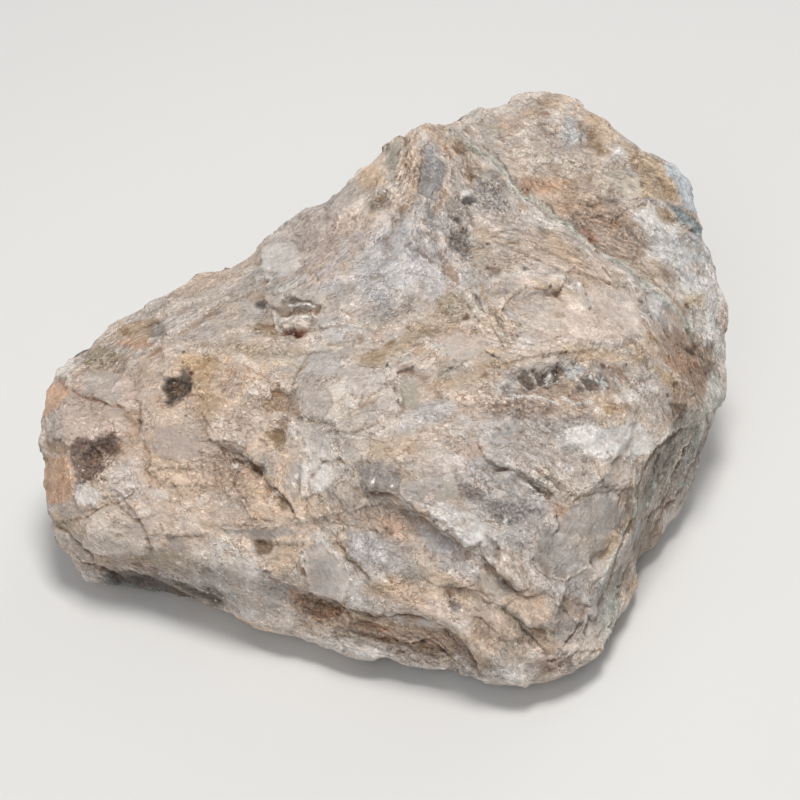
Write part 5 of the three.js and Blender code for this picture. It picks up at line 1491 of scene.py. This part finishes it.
class Quartz(Nodes):
    """The quartz: what its colour, its gloss and its finest relief share, and each of these three."""

    def __init__(self, material):
        super().__init__(material)
        self.place = self.add("ShaderNodeTexCoord").outputs["Object"]
        self.hollow = self.attribute("hollow")
        self.rough = self.ramp(self.attribute("smooth"), "rough")
        self.fibrous = self.ramp(self.attribute("fibrous"), "fibrous")
        grain = self.along_grain(self.place)
        drawn_out = self.vector("MULTIPLY", grain, STRAND_SQUEEZE)
        self.strand = self.noise(self.warped(drawn_out, *STRAND_PUSH), *TEXTURES["strand"])
        self.pushed = self.warped(grain, *PUSH)
        self.broad = self.scales(self.pushed, "broad")
        self.fine = self.scales(self.pushed, "fine")
        self.tiny = self.scales(self.pushed, "tiny")
        self.crinkle = self.ridges(self.pushed, CRINKLE_SIZE)
        self.sugar = self.noise(self.place, *TEXTURES["sugar"])
        self.cloud = self.noise(self.place, *TEXTURES["cloud"])
        self.highlight_lines = self.lines(self.vector("ADD", self.pushed, HIGHLIGHT_SHIFT), "highlight lines")
        self.dark_lines = self.lines(self.pushed, "dark lines")

    def shaded(self, shade, amount, share):
        """A shade made lighter or darker by an amount around 0, as far as the share goes."""
        return self.times(shade, self.plus(1.0, self.times(amount, share)))

    def even_shade(self):
        """The shade of scales, fibres and sugary grain, with painted highlights on crinkle ridges and pale
        lines, which is weaker on smooth faces.
        """
        fibre = self.noise(self.pushed, *TEXTURES["fibre"])
        shade = self.times(self.ramp(fibre, "fibre shade"), self.ramp(self.sugar, "sugar shade"),
                           self.ramp(self.crinkle, "crinkle highlight"), self.ramp(self.tiny[1], "tiny shade"),
                           self.ramp(self.fine[1], "fine shade"), self.ramp(self.broad[1], "broad shade"))
        shade = self.shaded(shade, self.highlight_lines, HIGHLIGHT_STRENGTH)
        return self.plus(1.0, self.times(self.minus(shade, 1.0), self.rough))

    def shade(self):
        """The whole shade, with specks in grainy zones, streaks in fibrous ones and pale high edges."""
        speck = self.noise(self.place, *TEXTURES["speck"])
        speckle = self.minus(self.ramp(speck, "light specks"), self.ramp(speck, "dark specks"))
        streak = self.minus(self.ramp(self.strand, "light streaks"), self.ramp(self.strand, "dark streaks"))
        shade = self.shaded(self.even_shade(), speckle, self.attribute("grainy"))
        shade = self.shaded(shade, streak, self.fibrous)
        return self.times(shade, self.ramp(self.hollow, "pale edges"))

    def colour(self):
        """The tone of the surface, shaded, with warm clouds, brown stain and painted shade in hollows and
        valleys, dark lines and painted glints.
        """
        colour = self.vector("SCALE", self.attribute("tone", "Color"))
        self.put(colour.node, "Scale", self.shade())
        warm = self.vector("MULTIPLY", colour, WARM_TINT)
        colour = self.choose(self.ramp(self.cloud, "warm clouds"), colour, warm)
        # Brown stain and painted shade in the hollows and valleys, and the dark lines.
        deep = self.vector("MULTIPLY", colour, HOLLOW_STAIN_AND_SHADE)
        hollow_stain_and_shade = self.ramp(self.hollow, "hollow stain and shade")
        valley_stain_and_shade = self.ramp(self.attribute("valley"), "valley stain and shade")
        dark = self.maths("MAXIMUM", hollow_stain_and_shade, valley_stain_and_shade)
        dark = self.maths("MAXIMUM", dark, self.times(self.dark_lines, DARK_STRENGTH, self.rough))
        colour = self.choose(dark, colour, deep)
        # Painted glints on a few tiny cells.
        glints = self.ramp(self.scales(self.place, "glint cells")[1], "painted glints")
        glints = self.times(glints, self.ramp(self.cloud, "glint clouds"), self.rough)
        return self.choose(glints, colour, GLINT_COLOUR)

    def height(self):
        """The finest relief in metres, stronger on the hidden sides."""
        hidden = self.attribute("hidden")
        height = self.times(self.broad[0], self.ramp(hidden, "broad relief"))
        strands = self.times(self.strand, self.fibrous)
        for part, share in ((self.fine[0], self.ramp(hidden, "fine relief")), (self.tiny[0], TINY_LIFT),
                            (self.crinkle, CRINKLE_LIFT), (self.sugar, SUGAR_LIFT),
                            (self.highlight_lines, HIGHLIGHT_LINE_LIFT), (self.dark_lines, DARK_LIFT),
                            (strands, STRAND_LIFT)):
            height = self.plus(height, self.times(part, share))
        return height

    def gloss(self):
        """The roughness: broken grain is matt, and a few tiny faces and the smooth facets shine."""
        return self.minus(self.ramp(self.tiny[1], "matt grain"), self.ramp(self.rough, "facet gloss"))


def quartz_material():
    material = bpy.data.materials.new("quartz")
    quartz = Quartz(material)
    bump = quartz.add("ShaderNodeBump", Distance=1.0, Height=quartz.height(), Strength=quartz.rough)
    shader = quartz.add("ShaderNodeBsdfPrincipled", Base_Color=quartz.colour(), Roughness=quartz.gloss(),
                        Subsurface_Weight=SCATTERED_SHARE, Subsurface_Radius=SCATTERED_COLOURS,
                        Subsurface_Scale=SCATTERED_REACH * MM, Normal=bump.outputs[0])
    quartz.add("ShaderNodeOutputMaterial", Surface=shader.outputs[0])
    return material


def make_floor():
    mesh = bpy.data.meshes.new("floor")
    corners = [(-FLOOR_HALF, -FLOOR_HALF, 0), (FLOOR_HALF, -FLOOR_HALF, 0), (FLOOR_HALF, FLOOR_HALF, 0),
               (-FLOOR_HALF, FLOOR_HALF, 0)]
    mesh.from_pydata(corners, [], [(0, 1, 2, 3)])
    floor = bpy.data.objects.new("floor", mesh)
    bpy.context.scene.collection.objects.link(floor)
    material = bpy.data.materials.new("floor")
    material.use_nodes = True
    shader = material.node_tree.nodes["Principled BSDF"]
    shader.inputs["Base Color"].default_value = FLOOR_COLOUR
    shader.inputs["Roughness"].default_value = FLOOR_ROUGHNESS
    mesh.materials.append(material)


def place_facing_stone(name, data, place):
    """Adds a light or the camera at a place in metres, turned towards the stone's heart."""
    thing = bpy.data.objects.new(name, data)
    bpy.context.scene.collection.objects.link(thing)
    thing.location = place
    way = Vector(HEART * MM) - thing.location
    thing.rotation_euler = way.to_track_quat("-Z", "Y").to_euler()
    return thing


def light_scene():
    for name, (place, size, power, colour) in LIGHTS.items():
        data = bpy.data.lights.new(name, "AREA")
        data.size = size
        data.energy = power
        data.color = colour
        place_facing_stone(name, data, place)
    world = bpy.data.worlds.new("studio")
    world.use_nodes = True
    background = world.node_tree.nodes["Background"]
    background.inputs["Color"].default_value = BACKGROUND_COLOUR
    background.inputs["Strength"].default_value = BACKGROUND_STRENGTH
    bpy.context.scene.world = world
    bpy.context.scene.view_settings.view_transform = "Standard"


def add_camera():
    data = bpy.data.cameras.new("camera")
    data.lens = LENS
    data.sensor_width = SENSOR
    data.clip_start = NEAREST_SEEN * MM
    place = (HEART + TO_VIEWER * VIEW_DISTANCE) * MM
    bpy.context.scene.camera = place_facing_stone("camera", data, place)


add_camera()
light_scene()
make_floor()
stone = make_stone()
stone.data.materials.append(quartz_material())
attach(stone, "root")
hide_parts("citrine_stone")
